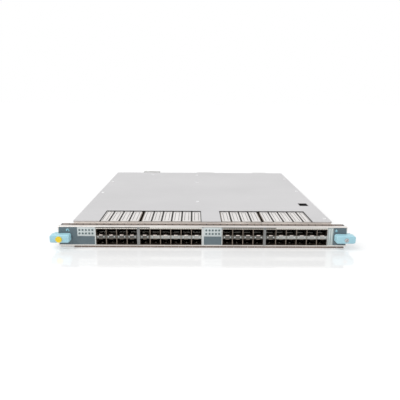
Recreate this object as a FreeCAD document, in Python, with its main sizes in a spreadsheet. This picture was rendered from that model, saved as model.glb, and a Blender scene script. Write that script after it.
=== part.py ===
# Switch line card with forty pluggable optical ports, all sizes in millimetres.
#
# Everything is drawn from the front face of the panel: X runs along the panel from its middle,
# Y runs back from the face into the card, and Z runs up from the surface that the tray lies on.
# The finished sub-parts are then placed so that the origin is under the middle of the card.
import FreeCAD
import Part
import math
import os
import re
import Sketcher

SIZES = {
    # front panel, a folded sheet
    "panel_width": 398.5,
    "panel_bottom": 2.6,
    "panel_top": 30.0,
    "panel_sheet": 1.2,
    "end_flange_depth": 7.0,
    "shelf_depth": 20.0,
    "foot_depth": 12.8,
    "opening_gap": 0.3,
    # printed film on the panel and the plates set into it
    "film_sheet": 0.3,
    "film_bottom": 4.4,
    "film_top": 29.7,
    "film_end_gap": 1.2,
    "film_gap": 0.2,
    "id_plate_left": 172.9,
    "id_plate_width": 7.2,
    "id_plate_bottom": 4.6,
    "id_plate_height": 24.6,
    "plate_sheet": 0.45,
    # indicator groups
    "led_left": -161.0,
    "led_right": 13.0,
    "led_middle": 22.9,
    "led_pitch": 4.45,
    "led_row_pitch": 5.0,
    "led_radius": 1.2,
    "led_hole_gap": 0.15,
    "led_plate_width": 23.8,
    "led_plate_height": 12.6,
    "guide_depth": 3.0,
    "guide_margin": 2.0,
    # port cages
    "quad_left": -147.9,
    "hex_left": -87.6,
    "quad_right": 26.4,
    "hex_right": 86.4,
    "port_pitch": 14.25,
    "port_height": 8.7,
    "bar_height": 4.9,
    "cage_sheet": 0.4,
    "cage_lift": 0.2,
    "cage_proud": 0.2,
    "cage_top": 28.5,
    "lid_top": 31.2,
    "lid_front": 22.5,
    "cage_depth": 86.0,
    "divider_sheet": 0.8,
    "divider_low": 6.0,
    "fit_gap": 0.1,
    "slit_width": 1.2,
    "slit_front": 29.0,
    "slit_rear_margin": 6.0,
    "bar_depth": 46.0,
    "tongue_width": 5.0,
    "tongue_depth": 6.0,
    "tongue_height": 0.8,
    "pipe_spread": 8.0,
    "pipe_width": 2.2,
    "pipe_height": 1.9,
    "pipe_depth": 52.0,
    "socket_front": 52.0,
    "socket_depth": 33.0,
    "socket_width": 12.6,
    "socket_height": 23.0,
    "card_slot_width": 10.2,
    "card_slot_height": 1.4,
    "card_slot_depth": 7.0,
    # spring gasket behind the panel's top edge
    "gasket_width": 395.6,
    "gasket_front": 6.2,
    "gasket_rear": 15.4,
    "gasket_rise": 1.3,
    "gasket_crown": 10.2,
    "gasket_sheet": 0.25,
    "gasket_pitch": 9.525,
    "gasket_slot": 0.7,
    "gasket_fingers": 41,
    # tray and cover
    "tray_width": 364.0,
    "tray_sheet": 1.0,
    "tray_lip_front": 11.8,
    "wall_front": 20.2,
    "tray_to_plug": 28.0,
    "tray_flange": 9.0,
    "cover_bottom": 31.6,
    "cover_sheet": 1.0,
    "cover_overlap": 1.2,
    "cover_front": 19.0,
    "window_left_start": -146.4,
    "window_left_end": -2.2,
    "window_right_start": 25.5,
    "window_right_end": 155.7,
    "window_rear": 76.0,
    "hatch_margin": 24.0,
    "hatch_front": 109.5,
    "hatch_width": 14.0,
    "hatch_depth": 17.5,
    "screw_head_radius": 2.6,
    "screw_head_height": 0.7,
    "screw_radius": 1.45,
    "screw_reach": 4.0,
    "screw_gap": 0.15,
    "post_radius": 3.2,
    "post_hole_gap": 0.8,
    "flange_screw_inset": 5.7,
    "left_screw_front": 200.0,
    "left_screw_rear": 300.0,
    "right_screw_front": 35.0,
    "right_screw_middle": 217.5,
    "right_screw_rear": 333.0,
    "post_across": -7.0,
    "post_front": 135.0,
    "post_rear_margin": 29.5,
    "post_middle_margin": 111.0,
    "corner_post_across": -102.8,
    "corner_post_margin": 26.5,
    # main board and what stands on it
    "board_side_gap": 2.5,
    "board_front": 15.5,
    "board_to_plug": 21.0,
    "board_sheet": 2.0,
    "board_screw_inset": 8.0,
    "board_screw_front": 101.5,
    "board_screw_middle": 12.0,
    "board_screw_right": 60.0,
    "board_screw_head_radius": 2.8,
    "board_screw_head_height": 1.6,
    "standoff_radius": 3.4,
    "plug_rear": 433.0,
    "plug_depth": 32.0,
    "plug_top": 28.7,
    "signal_left_top": 31.3,
    "plug_tail_gap": 0.5,
    "plug_shoulder_depth": 9.0,
    "plug_shoulder_drop": 3.0,
    "wafer_pitch": 2.2,
    "wafer_slot_width": 0.9,
    "wafer_slot_depth": 6.0,
    "wafer_margin": 2.0,
    "signal_left_start": -127.0,
    "signal_left_width": 36.4,
    "signal_middle_start": -6.0,
    "signal_middle_width": 39.0,
    "power_start": 121.7,
    "power_width": 29.8,
    "power_blades": 6,
    "guide_socket_start": 165.4,
    "guide_socket_width": 11.6,
    "guide_socket_height": 20.0,
    "guide_bore_radius": 3.0,
    "guide_bore_depth": 20.0,
    "guide_lead_in": 1.2,
    "chip_width": 45.0,
    "chip_height": 3.0,
    "chip_spread": 165.0,
    "chip_offset": -7.5,
    "chip_middle": 200.0,
    "sink_width": 90.0,
    "sink_base": 4.0,
    "sink_height": 21.0,
    "fin_sheet": 1.2,
    "fin_pitch": 6.3,
    "fabric_across": 45.0,
    "fabric_margin": 80.0,
    "fabric_sink_width": 60.0,
    "phy_width": 23.0,
    "phy_pitch": 57.0,
    "phy_middle": 104.0,
    "phy_height": 3.2,
    "memory_width": 12.0,
    "memory_depth": 14.0,
    "memory_height": 1.2,
    "memory_pitch": 14.0,
    "memory_gap": 2.5,
    "module_side_margin": 84.0,
    "module_margin": 120.0,
    "module_width": 78.0,
    "module_depth": 76.0,
    "module_lift": 6.0,
    "module_sheet": 1.6,
    "brick_left": -165.0,
    "brick_gap": 21.0,
    "brick_width": 58.0,
    "brick_depth": 37.0,
    "brick_height": 11.5,
    "brick_pitch": 48.0,
    "capacitor_left": -92.0,
    "capacitor_margin": 100.0,
    "capacitor_radius": 5.0,
    "capacitor_height": 12.5,
    "capacitor_pitch": 14.0,
    "header_margin": 24.8,
    "header_front": 108.0,
    "header_width": 6.4,
    "header_depth": 21.0,
    "header_height": 17.0,
    # ejector levers at the ends of the panel
    "lever_inner": 17.9,
    "lever_outer": 8.6,
    "lever_reach": 12.0,
    "lever_gap": 1.2,
    "lever_bottom": 10.5,
    "lever_height": 10.6,
    "lever_round": 2.6,
    "lever_edge": 1.0,
    "arm_gap": 1.1,
    "pivot_inset": 3.75,
    "pivot_back": 9.6,
    "hub_radius": 4.5,
    "claw_slot_front": 6.2,
    "claw_slot_width": 4.0,
    "claw_slot_depth": 4.2,
    "pin_radius": 1.5,
    "pin_gap": 0.05,
    "pin_head_radius": 2.2,
    "pin_head_height": 0.8,
    "ear_gap": 0.3,
    "ear_sheet": 1.4,
    "ear_margin": 0.25,
    "web_inner": 14.8,
    "web_width": 6.0,
    # captive screw in each lever, and its nut in the panel
    "lock_inset": 3.85,
    "lock_height": 15.4,
    "lock_radius": 1.6,
    "lock_hole_gap": 0.1,
    "lock_head_radius": 2.9,
    "lock_head_depth": 3.4,
    "lock_head_gap": 0.2,
    "lock_recess_radius": 1.5,
    "lock_recess_depth": 2.0,
    "lock_proud": 0.2,
    "lock_tip_gap": 0.3,
    "clip_radius": 2.6,
    "clip_sheet": 0.6,
    "clip_setback": 0.5,
    "clip_gap": 0.1,
    "nut_radius": 2.1,
    "nut_flange_radius": 3.1,
    "nut_flange_depth": 2.0,
    "cap_radius": 4.3,
    "cap_height": 1.0,
    "cap_gap": 0.15,
    "cap_stem_radius": 1.3,
}

# Names for places that several sub-parts share, worked out from the sizes above.
PLACES = {
    "board_top": "(panel_bottom + panel_sheet + cage_lift)",
    "board_width": "(tray_width - 2 * board_side_gap)",
    "board_rear": "(plug_rear - board_to_plug)",
    "tray_rear": "(plug_rear - tray_to_plug)",
    "cover_width": "(tray_width + 2 * cover_overlap)",
    "sink_rear": "(chip_middle + sink_width / 2)",
    "fabric_middle": "(plug_rear - board_to_plug - fabric_margin)",
    "module_left": "(tray_width / 2 - module_side_margin)",
    "module_front": "(plug_rear - board_to_plug - module_margin)",
    "hatch_left": "(tray_width / 2 - hatch_margin)",
    "header_left": "(tray_width / 2 - header_margin)",
    "bar_low": "(panel_bottom + panel_sheet + cage_lift + cage_sheet + port_height)",
    "pipe_low": "(panel_bottom + panel_sheet + cage_lift + cage_sheet + port_height"
                " + (bar_height - pipe_height) / 2)",
    "lintel_low": "(panel_bottom + panel_sheet + cage_lift + cage_sheet + 2 * port_height + bar_height)",
    "port_floor": "(panel_bottom + panel_sheet + cage_lift + cage_sheet)",
    "panel_end": "(panel_width / 2)",
    "pivot_x": "(panel_width / 2 - pivot_inset)",
    "lock_x": "(panel_width / 2 - lock_inset)",
    "cover_top": "(cover_bottom + cover_sheet)",
    "lever_top": "(lever_bottom + lever_height)",
    "front_end": "(lever_reach + cap_gap + cap_height)",
    "pin_bottom": "(lever_bottom - ear_gap - ear_sheet)",
    "pin_length": "(lever_height + 2 * ear_gap + 2 * ear_sheet)",
}

QUAD_COLUMNS = 4
HEX_COLUMNS = 6
LED_COLUMNS = 5
LED_ROWS = 2

# A hole with eight flat sides holds a round rod when its corners are this much further out.
ROUND_IN_FLATS = 1 / math.cos(math.pi / 8)

doc = FreeCAD.newDocument("line_card")
sheet = doc.addObject("Spreadsheet::Sheet", "Sizes")
for row, (alias, number) in enumerate(SIZES.items(), 1):
    sheet.set(f"A{row}", alias.replace("_", " "))
    sheet.set(f"B{row}", str(number))
    sheet.setAlias(f"B{row}", alias)
doc.recompute()

PLACE_NAME = re.compile(r"\b(" + "|".join(PLACES) + r")\b")
SIZE_NAME = re.compile(r"\b(" + "|".join(SIZES) + r")\b")
nodes = []


def formula(text):
    """Spell out the places in a formula, and point its sizes at the sheet."""
    text = PLACE_NAME.sub(lambda found: PLACES[found.group(1)], str(text))
    return SIZE_NAME.sub(r"Sizes.\1", text)


def bind(thing, **formulas):
    for name, text in formulas.items():
        thing.setExpression(name.replace("__", "."), formula(text))


def finish(thing, label):
    """Name a finished sub-part and move it so that the origin is under the card's middle."""
    thing.Label = label
    bind(thing, Placement__Base__y="-(plug_rear - front_end) / 2")
    nodes.append(thing)


# ---- primitives ----

def block(name, low, size):
    box = doc.addObject("Part::Box", name)
    bind(box, Placement__Base__x=low[0], Placement__Base__y=low[1], Placement__Base__z=low[2])
    bind(box, Length=size[0], Width=size[1], Height=size[2])
    return box


def rod(name, start, radius, length, along="z"):
    cylinder = doc.addObject("Part::Cylinder", name)
    if along == "y":
        cylinder.Placement.Rotation = FreeCAD.Rotation(FreeCAD.Vector(1, 0, 0), -90)
    bind(cylinder, Placement__Base__x=start[0], Placement__Base__y=start[1], Placement__Base__z=start[2])
    bind(cylinder, Radius=radius, Height=length)
    return cylinder


def prism(name, start, radius, length, sides, along="z"):
    """A rod with flat sides, for small fixings; the radius is to its corners."""
    bar = doc.addObject("Part::Prism", name)
    bar.Polygon = sides
    if along == "y":
        bar.Placement.Rotation = FreeCAD.Rotation(FreeCAD.Vector(1, 0, 0), -90)
    bind(bar, Placement__Base__x=start[0], Placement__Base__y=start[1], Placement__Base__z=start[2])
    bind(bar, Circumradius=radius, Height=length)
    return bar


def fused(name, pieces):
    fusion = doc.addObject("Part::MultiFuse", name)
    fusion.Shapes = pieces
    return fusion


def cut(name, base, tools):
    difference = doc.addObject("Part::Cut", name)
    difference.Base = base
    difference.Tool = tools[0] if len(tools) == 1 else fused(name + "_tools", tools)
    return difference


def group(name, pieces):
    compound = doc.addObject("Part::Compound", name)
    compound.Links = pieces
    return compound


# ---- bodies and sketches ----

def new_body(name):
    return doc.addObject("PartDesign::Body", name)


def new_sketch(body, plane, name, offset=None):
    origin_plane = [item for item in body.Origin.OriginFeatures if item.Role == plane][0]
    sketch = body.newObject("Sketcher::SketchObject", name)
    sketch.AttachmentSupport = [(origin_plane, "")]
    sketch.MapMode = "FlatFace"
    if offset:
        bind(sketch, AttachmentOffset__Base__z=offset)
    return sketch


def fix_point(sketch, shape, end, place):
    """Tie one point of the sketch to two formulas, measured from the sketch's origin."""
    for kind, text in zip(("DistanceX", "DistanceY"), place):
        number = sketch.addConstraint(Sketcher.Constraint(kind, -1, 1, shape, end, 1.0))
        sketch.setExpression(f"Constraints[{number}]", formula(text))


def polygon(sketch, corners):
    first = sketch.GeometryCount
    count = len(corners)
    for index in range(count):
        start = FreeCAD.Vector(index, index % 2, 0)
        end = FreeCAD.Vector(index + 1, (index + 1) % 2, 0)
        sketch.addGeometry(Part.LineSegment(start, end), False)
    for index, corner in enumerate(corners):
        following = first + (index + 1) % count
        sketch.addConstraint(Sketcher.Constraint("Coincident", first + index, 2, following, 1))
        fix_point(sketch, first + index, 1, corner)


def rectangle(sketch, left, low, width, height):
    right = f"{left} + {width}"
    top = f"{low} + {height}"
    polygon(sketch, [(left, low), (right, low), (right, top), (left, top)])


def circle(sketch, centre, radius):
    shape = sketch.addGeometry(Part.Circle(FreeCAD.Vector(0, 0, 0), FreeCAD.Vector(0, 0, 1), 1), False)
    fix_point(sketch, shape, 3, centre)
    number = sketch.addConstraint(Sketcher.Constraint("Radius", shape, 1.0))
    sketch.setExpression(f"Constraints[{number}]", formula(radius))


def flat_sided(sketch, centre, radius, sides=8):
    """A regular outline round a centre; the radius is to its corners."""
    turns = [2 * math.pi * index / sides for index in range(sides)]
    polygon(sketch, [(f"{centre[0]} + {math.cos(turn):.5f} * ({radius})",
                      f"{centre[1]} + {math.sin(turn):.5f} * ({radius})") for turn in turns])


def pad(body, sketch, length, middle=False, backwards=False):
    feature = body.newObject("PartDesign::Pad", sketch.Name + "_pad")
    feature.Profile = sketch
    feature.Midplane = middle
    feature.Reversed = backwards
    bind(feature, Length=length)
    return feature


def pocket_through(body, sketch):
    feature = body.newObject("PartDesign::Pocket", sketch.Name + "_pocket")
    feature.Profile = sketch
    feature.Type = "ThroughAll"
    feature.Midplane = True
    return feature


def pocket_from(body, sketch, depth, backwards=False):
    """Cut to a depth, away from the side that the sketch's plane faces."""
    feature = body.newObject("PartDesign::Pocket", sketch.Name + "_pocket")
    feature.Profile = sketch
    feature.Reversed = backwards
    bind(feature, Length=depth)
    return feature


def chosen_edges(base, wanted):
    doc.recompute()
    return [f"Edge{number}" for number, edge in enumerate(base.Shape.Edges, 1) if wanted(edge)]


def rounded(body, base, radius, wanted):
    """Fillet the edges of the base feature for which wanted(edge) is true."""
    feature = body.newObject("PartDesign::Fillet", base.Name + "_round")
    feature.Base = (base, chosen_edges(base, wanted))
    bind(feature, Radius=radius)
    return feature


def chamfered(body, base, width, wanted):
    """Bevel the edges of the base feature for which wanted(edge) is true."""
    feature = body.newObject("PartDesign::Chamfer", base.Name + "_chamfer")
    feature.Base = (base, chosen_edges(base, wanted))
    bind(feature, Size=width)
    return feature


def runs_along(edge, direction):
    """True for a straight edge parallel to the direction."""
    if len(edge.Vertexes) != 2 or edge.Curve.TypeId != "Part::GeomLine":
        return False
    return abs(edge.tangentAt(edge.FirstParameter).dot(direction)) > 0.999


def size(alias):
    return float(sheet.get(alias))


NEAR = 0.01
ALONG_X = FreeCAD.Vector(1, 0, 0)
ALONG_Y = FreeCAD.Vector(0, 1, 0)
ALONG_Z = FreeCAD.Vector(0, 0, 1)

CAGES = [
    ("quad_cage_left", "quad_left", QUAD_COLUMNS),
    ("hex_cage_left", "hex_left", HEX_COLUMNS),
    ("quad_cage_right", "quad_right", QUAD_COLUMNS),
    ("hex_cage_right", "hex_right", HEX_COLUMNS),
]
SIDES = {"left": -1, "right": 1}


def led_places():
    """Middle of each indicator, as formulas for X and Z, with the group that it is in."""
    for group_name in ("led_left", "led_right"):
        for column in range(LED_COLUMNS):
            for row in range(LED_ROWS):
                across = f"{group_name} + {column - (LED_COLUMNS - 1) / 2} * led_pitch"
                up = f"led_middle + {row - (LED_ROWS - 1) / 2} * led_row_pitch"
                yield group_name, across, up


# ---- front panel: face, top flange with a raised shelf lip, and foot, folded from one sheet ----

def front_panel():
    body = new_body("front_panel_body")
    face = new_sketch(body, "YZ_Plane", "panel_section")
    polygon(face, [
        ("0", "panel_bottom"),
        ("panel_sheet", "panel_bottom"),
        ("panel_sheet", "panel_top - panel_sheet"),
        ("end_flange_depth", "panel_top - panel_sheet"),
        ("end_flange_depth", "panel_top"),
        ("0", "panel_top"),
    ])
    pad(body, face, "panel_width", middle=True)
    folds = new_sketch(body, "YZ_Plane", "shelf_and_foot")
    polygon(folds, [
        ("panel_sheet / 2", "panel_top - panel_sheet"),
        ("shelf_depth", "panel_top - panel_sheet"),
        ("shelf_depth", "cover_bottom"),
        ("shelf_depth - panel_sheet", "cover_bottom"),
        ("shelf_depth - panel_sheet", "panel_top"),
        ("panel_sheet / 2", "panel_top"),
    ])
    polygon(folds, [
        ("panel_sheet / 2", "panel_bottom"),
        ("foot_depth", "panel_bottom"),
        ("foot_depth", "panel_bottom + panel_sheet"),
        ("panel_sheet / 2", "panel_bottom + panel_sheet"),
    ])
    solid = pad(body, folds, "tray_width", middle=True)
    fold = FreeCAD.Vector(0, 0, size("panel_top"))

    def is_top_fold(edge):
        return runs_along(edge, ALONG_X) and edge.CenterOfMass.distanceToPoint(fold) < NEAR

    solid = rounded(body, solid, "panel_sheet * 0.6", is_top_fold)
    holes = new_sketch(body, "XZ_Plane", "panel_openings")
    for name, edge, columns in CAGES:
        rectangle(holes, f"{edge} - opening_gap", "panel_bottom + panel_sheet",
                  f"{columns} * port_pitch + 2 * opening_gap",
                  "cage_top - panel_bottom - panel_sheet + opening_gap / 2")
    reach = "(led_radius + led_hole_gap)"
    for centre in ("led_left", "led_right"):
        rectangle(holes, f"{centre} - 2 * led_pitch - {reach}", f"led_middle - led_row_pitch / 2 - {reach}",
                  f"4 * led_pitch + 2 * {reach}", f"led_row_pitch + 2 * {reach}")
    for hand in SIDES.values():
        flat_sided(holes, (f"{hand} * lock_x", "lock_height"), "nut_radius")
    pocket_through(body, holes)
    finish(body, "front_panel")


# ---- printed film over the panel, open at the ports and round the plates ----

def face_film():
    body = new_body("face_film_body")
    outline = new_sketch(body, "XZ_Plane", "film_outline")
    rectangle(outline, "film_end_gap - panel_end", "film_bottom",
              "panel_width - 2 * film_end_gap", "film_top - film_bottom")
    pad(body, outline, "film_sheet")
    holes = new_sketch(body, "XZ_Plane", "film_openings")
    for name, edge, columns in CAGES:
        rectangle(holes, f"{edge} - opening_gap", "film_bottom - film_gap",
                  f"{columns} * port_pitch + 2 * opening_gap",
                  "cage_top + opening_gap / 2 - film_bottom + film_gap")
    for centre in ("led_left", "led_right"):
        rectangle(holes, f"{centre} - led_plate_width / 2 - film_gap",
                  "led_middle - led_plate_height / 2 - film_gap",
                  "led_plate_width + 2 * film_gap", "led_plate_height + 2 * film_gap")
    rectangle(holes, "id_plate_left - film_gap", "id_plate_bottom - film_gap",
              "id_plate_width + 2 * film_gap", "id_plate_height + 2 * film_gap")
    for hand in SIDES.values():
        flat_sided(holes, (f"{hand} * lock_x", "lock_height"), "nut_radius")
    pocket_through(body, holes)
    finish(body, "face_film")


def id_plate():
    plate = block("id_plate_block", ("id_plate_left", "-plate_sheet", "id_plate_bottom"),
                  ("id_plate_width", "plate_sheet", "id_plate_height"))
    finish(group("id_plate_placed", [plate]), "id_plate")


# ---- indicator plates, and the clear light guides behind them ----

def indicators():
    plates = []
    guides = []
    for centre in ("led_left", "led_right"):
        places = [place[1:] for place in led_places() if place[0] == centre]
        plate = block(centre + "_plate", (f"{centre} - led_plate_width / 2", "-plate_sheet",
                                          "led_middle - led_plate_height / 2"),
                      ("led_plate_width", "plate_sheet", "led_plate_height"))
        holes = [prism(centre + "_hole", (across, "-2 * plate_sheet", up), "led_radius + led_hole_gap",
                       "3 * plate_sheet", 6, along="y") for across, up in places]
        plates.append(cut(centre + "_plate_cut", plate, holes))
        bar = block(centre + "_guide_bar",
                    (f"{centre} - 2 * led_pitch - guide_margin", "panel_sheet",
                     "led_middle - led_row_pitch / 2 - guide_margin"),
                    ("4 * led_pitch + 2 * guide_margin", "guide_depth", "led_row_pitch + 2 * guide_margin"))
        lenses = [prism(centre + "_lens", (across, "-plate_sheet", up), "led_radius",
                        "plate_sheet + panel_sheet + guide_depth / 2", 6, along="y") for across, up in places]
        guides.append(fused(centre + "_guide", [bar] + lenses))
    finish(group("led_plate_pair", plates), "led_plates")
    finish(group("light_guide_pair", guides), "light_guides")


# ---- port cages: shell, floor, dividers, middle bars, light pipes and board sockets ----

def cage_shell(name, edge, columns):
    """Thin folded shell: low under the panel's shelf, then raised into the cover's window, with slits."""
    width = f"{columns} * port_pitch"
    outer = block(name + "_outer", (edge, "-cage_proud", "board_top"),
                  (width, "cage_depth + cage_proud", "cage_top - board_top"))
    inner = block(name + "_inner", (f"{edge} + cage_sheet", "-2 * cage_proud", "board_top - cage_sheet"),
                  (f"{width} - 2 * cage_sheet", "cage_depth + 2 * cage_proud - cage_sheet",
                   "cage_top - board_top"))
    lid = block(name + "_lid", (edge, "lid_front", "cage_top - cage_sheet"),
                (width, "cage_depth - lid_front", "lid_top - cage_top + cage_sheet"))
    under_lid = block(name + "_under_lid",
                      (f"{edge} + cage_sheet", "lid_front + cage_sheet", "cage_top - 2 * cage_sheet"),
                      (f"{width} - 2 * cage_sheet", "cage_depth - lid_front - 2 * cage_sheet",
                       "lid_top - cage_top + cage_sheet"))
    slits = []
    for column in range(1, columns):
        left = f"{edge} + {column} * port_pitch - slit_width / 2"
        slits.append(block(name + "_slit", (left, "slit_front", "lid_top - 2 * cage_sheet"),
                           ("slit_width", "cage_depth - slit_front - slit_rear_margin", "3 * cage_sheet")))
    lintel = block(name + "_lintel", (f"{edge} + cage_sheet / 2", "-cage_proud", "lintel_low"),
                   (f"{width} - cage_sheet", "cage_sheet", "cage_top - lintel_low - cage_sheet / 2"))
    shell = cut(name + "_folded", fused(name + "_solid", [outer, lid]), [inner, under_lid] + slits)
    finish(fused(name + "_shell_fused", [shell, lintel]), name + "_shell")


def cage_floor(name, edge, columns):
    plate = block(name + "_floor_plate", (f"{edge} + cage_sheet", "-cage_proud", "board_top"),
                  (f"{columns} * port_pitch - 2 * cage_sheet", "socket_front + cage_proud - fit_gap",
                   "cage_sheet"))
    finish(group(name + "_floor_placed", [plate]), name + "_floor")


def cage_dividers(name, edge, columns):
    """Upright plates between the columns, stepped down under the slits of the shell."""
    plates = []
    for column in range(1, columns):
        left = f"{edge} + {column} * port_pitch - divider_sheet / 2"
        front = block(name + "_divider_front", (left, "cage_sheet", "port_floor"),
                      ("divider_sheet", "slit_front - cage_sheet", "cage_top - cage_sheet - port_floor"))
        rear = block(name + "_divider_rear", (left, "slit_front", "port_floor"),
                     ("divider_sheet", "socket_front - slit_front - fit_gap",
                      "cage_top - cage_sheet - port_floor - divider_low"))
        plates.append(fused(name + "_divider", [front, rear]))
    finish(group(name + "_divider_set", plates), name + "_dividers")


def cage_bars(name, edge, columns):
    """Hollow bars between the upper and lower ports, with latch tongues and light windows."""
    bars = []
    width = "(port_pitch - divider_sheet - 2 * fit_gap)"
    for column in range(columns):
        middle = f"{edge} + {column + 0.5} * port_pitch"
        left = f"{middle} - {width} / 2"
        outer = block(name + "_bar", (left, "-cage_proud", "bar_low"),
                      (width, "bar_depth + cage_proud", "bar_height"))
        inner = block(name + "_bar_hollow",
                      (f"{left} - fit_gap", "cage_sheet - cage_proud", "bar_low + cage_sheet"),
                      (f"{width} + 2 * fit_gap", "bar_depth + cage_proud", "bar_height - 2 * cage_sheet"))
        windows = []
        for hand in SIDES.values():
            window_left = f"{middle} + {hand} * pipe_spread / 2 - pipe_width / 2 - fit_gap"
            windows.append(block(name + "_bar_window", (window_left, "-2 * cage_proud", "pipe_low - fit_gap"),
                                 ("pipe_width + 2 * fit_gap", "2 * cage_sheet + 2 * cage_proud",
                                  "pipe_height + 2 * fit_gap")))
        folded = cut(name + "_bar_folded", outer, [inner] + windows)
        tongue = block(name + "_tongue",
                       (f"{middle} - tongue_width / 2", "-cage_proud", "bar_low - tongue_height"),
                       ("tongue_width", "tongue_depth", "bar_height + 2 * tongue_height"))
        hollow = block(name + "_tongue_hollow",
                       (f"{middle} - tongue_width", "-2 * cage_proud", "bar_low + cage_sheet / 2"),
                       ("2 * tongue_width", "tongue_depth + 2 * cage_proud", "bar_height - cage_sheet"))
        bars.append(fused(name + "_bar_whole", [folded, cut(name + "_tongues", tongue, [hollow])]))
    finish(group(name + "_bar_set", bars), name + "_bars")


def cage_sockets(name, edge, columns):
    """One moulded board socket behind each column, with a card slot for either port."""
    sockets = []
    for column in range(columns):
        middle = f"{edge} + {column + 0.5} * port_pitch"
        base = block(name + "_socket", (f"{middle} - socket_width / 2", "socket_front", "board_top"),
                     ("socket_width", "socket_depth", "socket_height"))
        heights = [f"port_floor + port_height / 2 + {row} * (port_height + bar_height)" for row in range(2)]
        slots = [block(name + "_card_slot",
                       (f"{middle} - card_slot_width / 2", "socket_front - card_slot_depth",
                        f"{height} - card_slot_height / 2"),
                       ("card_slot_width", "2 * card_slot_depth", "card_slot_height")) for height in heights]
        sockets.append(cut(name + "_socket_cut", base, slots))
    finish(group(name + "_socket_set", sockets), name + "_sockets")


def port_light_pipes():
    pipes = []
    for name, edge, columns in CAGES:
        for column in range(columns):
            for hand in SIDES.values():
                middle = f"{edge} + {column + 0.5} * port_pitch + {hand} * pipe_spread / 2"
                pipes.append(block(name + "_pipe", (f"{middle} - pipe_width / 2", "-cage_proud", "pipe_low"),
                                   ("pipe_width", "pipe_depth", "pipe_height")))
    finish(group("light_pipe_set", pipes), "port_light_pipes")


# ---- spring gasket: one strip of arched fingers along the top of the card ----

def top_gasket():
    body = new_body("top_gasket_body")
    section = new_sketch(body, "YZ_Plane", "gasket_section")
    polygon(section, [
        ("gasket_front", "panel_top"),
        ("end_flange_depth + gasket_sheet", "panel_top"),
        ("gasket_crown", "panel_top + gasket_rise - gasket_sheet"),
        ("gasket_rear - 2 * gasket_sheet", "panel_top"),
        ("gasket_rear", "panel_top"),
        ("gasket_crown", "panel_top + gasket_rise"),
        ("end_flange_depth", "panel_top + gasket_sheet"),
        ("gasket_front", "panel_top + gasket_sheet"),
    ])
    pad(body, section, "gasket_width", middle=True)
    slot = new_sketch(body, "XY_Plane", "gasket_slot_outline")
    rectangle(slot, "-(gasket_fingers - 1) / 2 * gasket_pitch - gasket_slot / 2",
              "end_flange_depth + gasket_sheet", "gasket_slot", "gasket_rear - end_flange_depth")
    first = pocket_through(body, slot)
    doc.recompute()
    row_of_slots = body.newObject("PartDesign::LinearPattern", "gasket_slots")
    row_of_slots.Originals = [first]
    row_of_slots.Direction = (slot, ["H_Axis"])
    row_of_slots.Mode = "Spacing"
    bind(row_of_slots, Offset="gasket_pitch", Occurrences="gasket_fingers")
    body.Tip = row_of_slots
    finish(body, "top_gasket")


# Cover screws, as X and Y: those along the tray's flanges, and those over posts inside.
SCREW_PLACES = [
    ("flange_screw_inset - tray_width / 2", "left_screw_front"),
    ("flange_screw_inset - tray_width / 2", "left_screw_rear"),
    ("tray_width / 2 - flange_screw_inset", "right_screw_front"),
    ("tray_width / 2 - flange_screw_inset", "right_screw_middle"),
    ("tray_width / 2 - flange_screw_inset", "right_screw_rear"),
]
POST_PLACES = [
    ("post_across", "post_front"),
    ("post_across", "tray_rear - post_middle_margin"),
    ("post_across", "tray_rear - post_rear_margin"),
    ("corner_post_across", "tray_rear - corner_post_margin"),
]


# ---- tray: floor, side walls with inward flanges, and a low lip under the panel's foot ----

def tray():
    body = new_body("tray_body")
    section = new_sketch(body, "XZ_Plane", "tray_section", offset="-wall_front")
    half = "tray_width / 2"
    polygon(section, [
        (f"-{half}", "0"),
        (half, "0"),
        (half, "cover_bottom"),
        (f"{half} - tray_flange", "cover_bottom"),
        (f"{half} - tray_flange", "cover_bottom - tray_sheet"),
        (f"{half} - tray_sheet", "cover_bottom - tray_sheet"),
        (f"{half} - tray_sheet", "tray_sheet"),
        (f"tray_sheet - {half}", "tray_sheet"),
        (f"tray_sheet - {half}", "cover_bottom - tray_sheet"),
        (f"tray_flange - {half}", "cover_bottom - tray_sheet"),
        (f"tray_flange - {half}", "cover_bottom"),
        (f"-{half}", "cover_bottom"),
    ])
    pad(body, section, "tray_rear - wall_front", backwards=True)
    lip = new_sketch(body, "YZ_Plane", "tray_front_lip")
    polygon(lip, [
        ("tray_lip_front", "0"),
        ("wall_front + tray_sheet", "0"),
        ("wall_front + tray_sheet", "tray_sheet"),
        ("tray_lip_front + tray_sheet", "tray_sheet"),
        ("tray_lip_front + tray_sheet", "panel_bottom"),
        ("tray_lip_front", "panel_bottom"),
    ])
    pad(body, lip, "tray_width", middle=True)
    doc.recompute()
    holes = new_sketch(body, "XY_Plane", "tray_flange_holes", offset="cover_bottom")
    for across, back in SCREW_PLACES:
        flat_sided(holes, (across, back), "screw_radius + screw_gap", 6)
    pocket_from(body, holes, "tray_sheet * 1.5")
    finish(body, "tray")


# ---- cover: flat sheet with two notches over the cages and a small hatch ----

def cover():
    body = new_body("cover_body")
    outline = new_sketch(body, "XY_Plane", "cover_outline", offset="cover_bottom")
    polygon(outline, [
        ("-cover_width / 2", "cover_front"),
        ("window_left_start", "cover_front"),
        ("window_left_start", "window_rear"),
        ("window_left_end", "window_rear"),
        ("window_left_end", "cover_front"),
        ("window_right_start", "cover_front"),
        ("window_right_start", "window_rear"),
        ("window_right_end", "window_rear"),
        ("window_right_end", "cover_front"),
        ("cover_width / 2", "cover_front"),
        ("cover_width / 2", "tray_rear"),
        ("-cover_width / 2", "tray_rear"),
    ])
    pad(body, outline, "cover_sheet")
    holes = new_sketch(body, "XY_Plane", "cover_holes")
    rectangle(holes, "hatch_left", "hatch_front", "hatch_width", "hatch_depth")
    for across, back in SCREW_PLACES + POST_PLACES:
        flat_sided(holes, (across, back), "screw_radius + screw_gap", 6)
    pocket_through(body, holes)
    finish(body, "cover")


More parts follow.
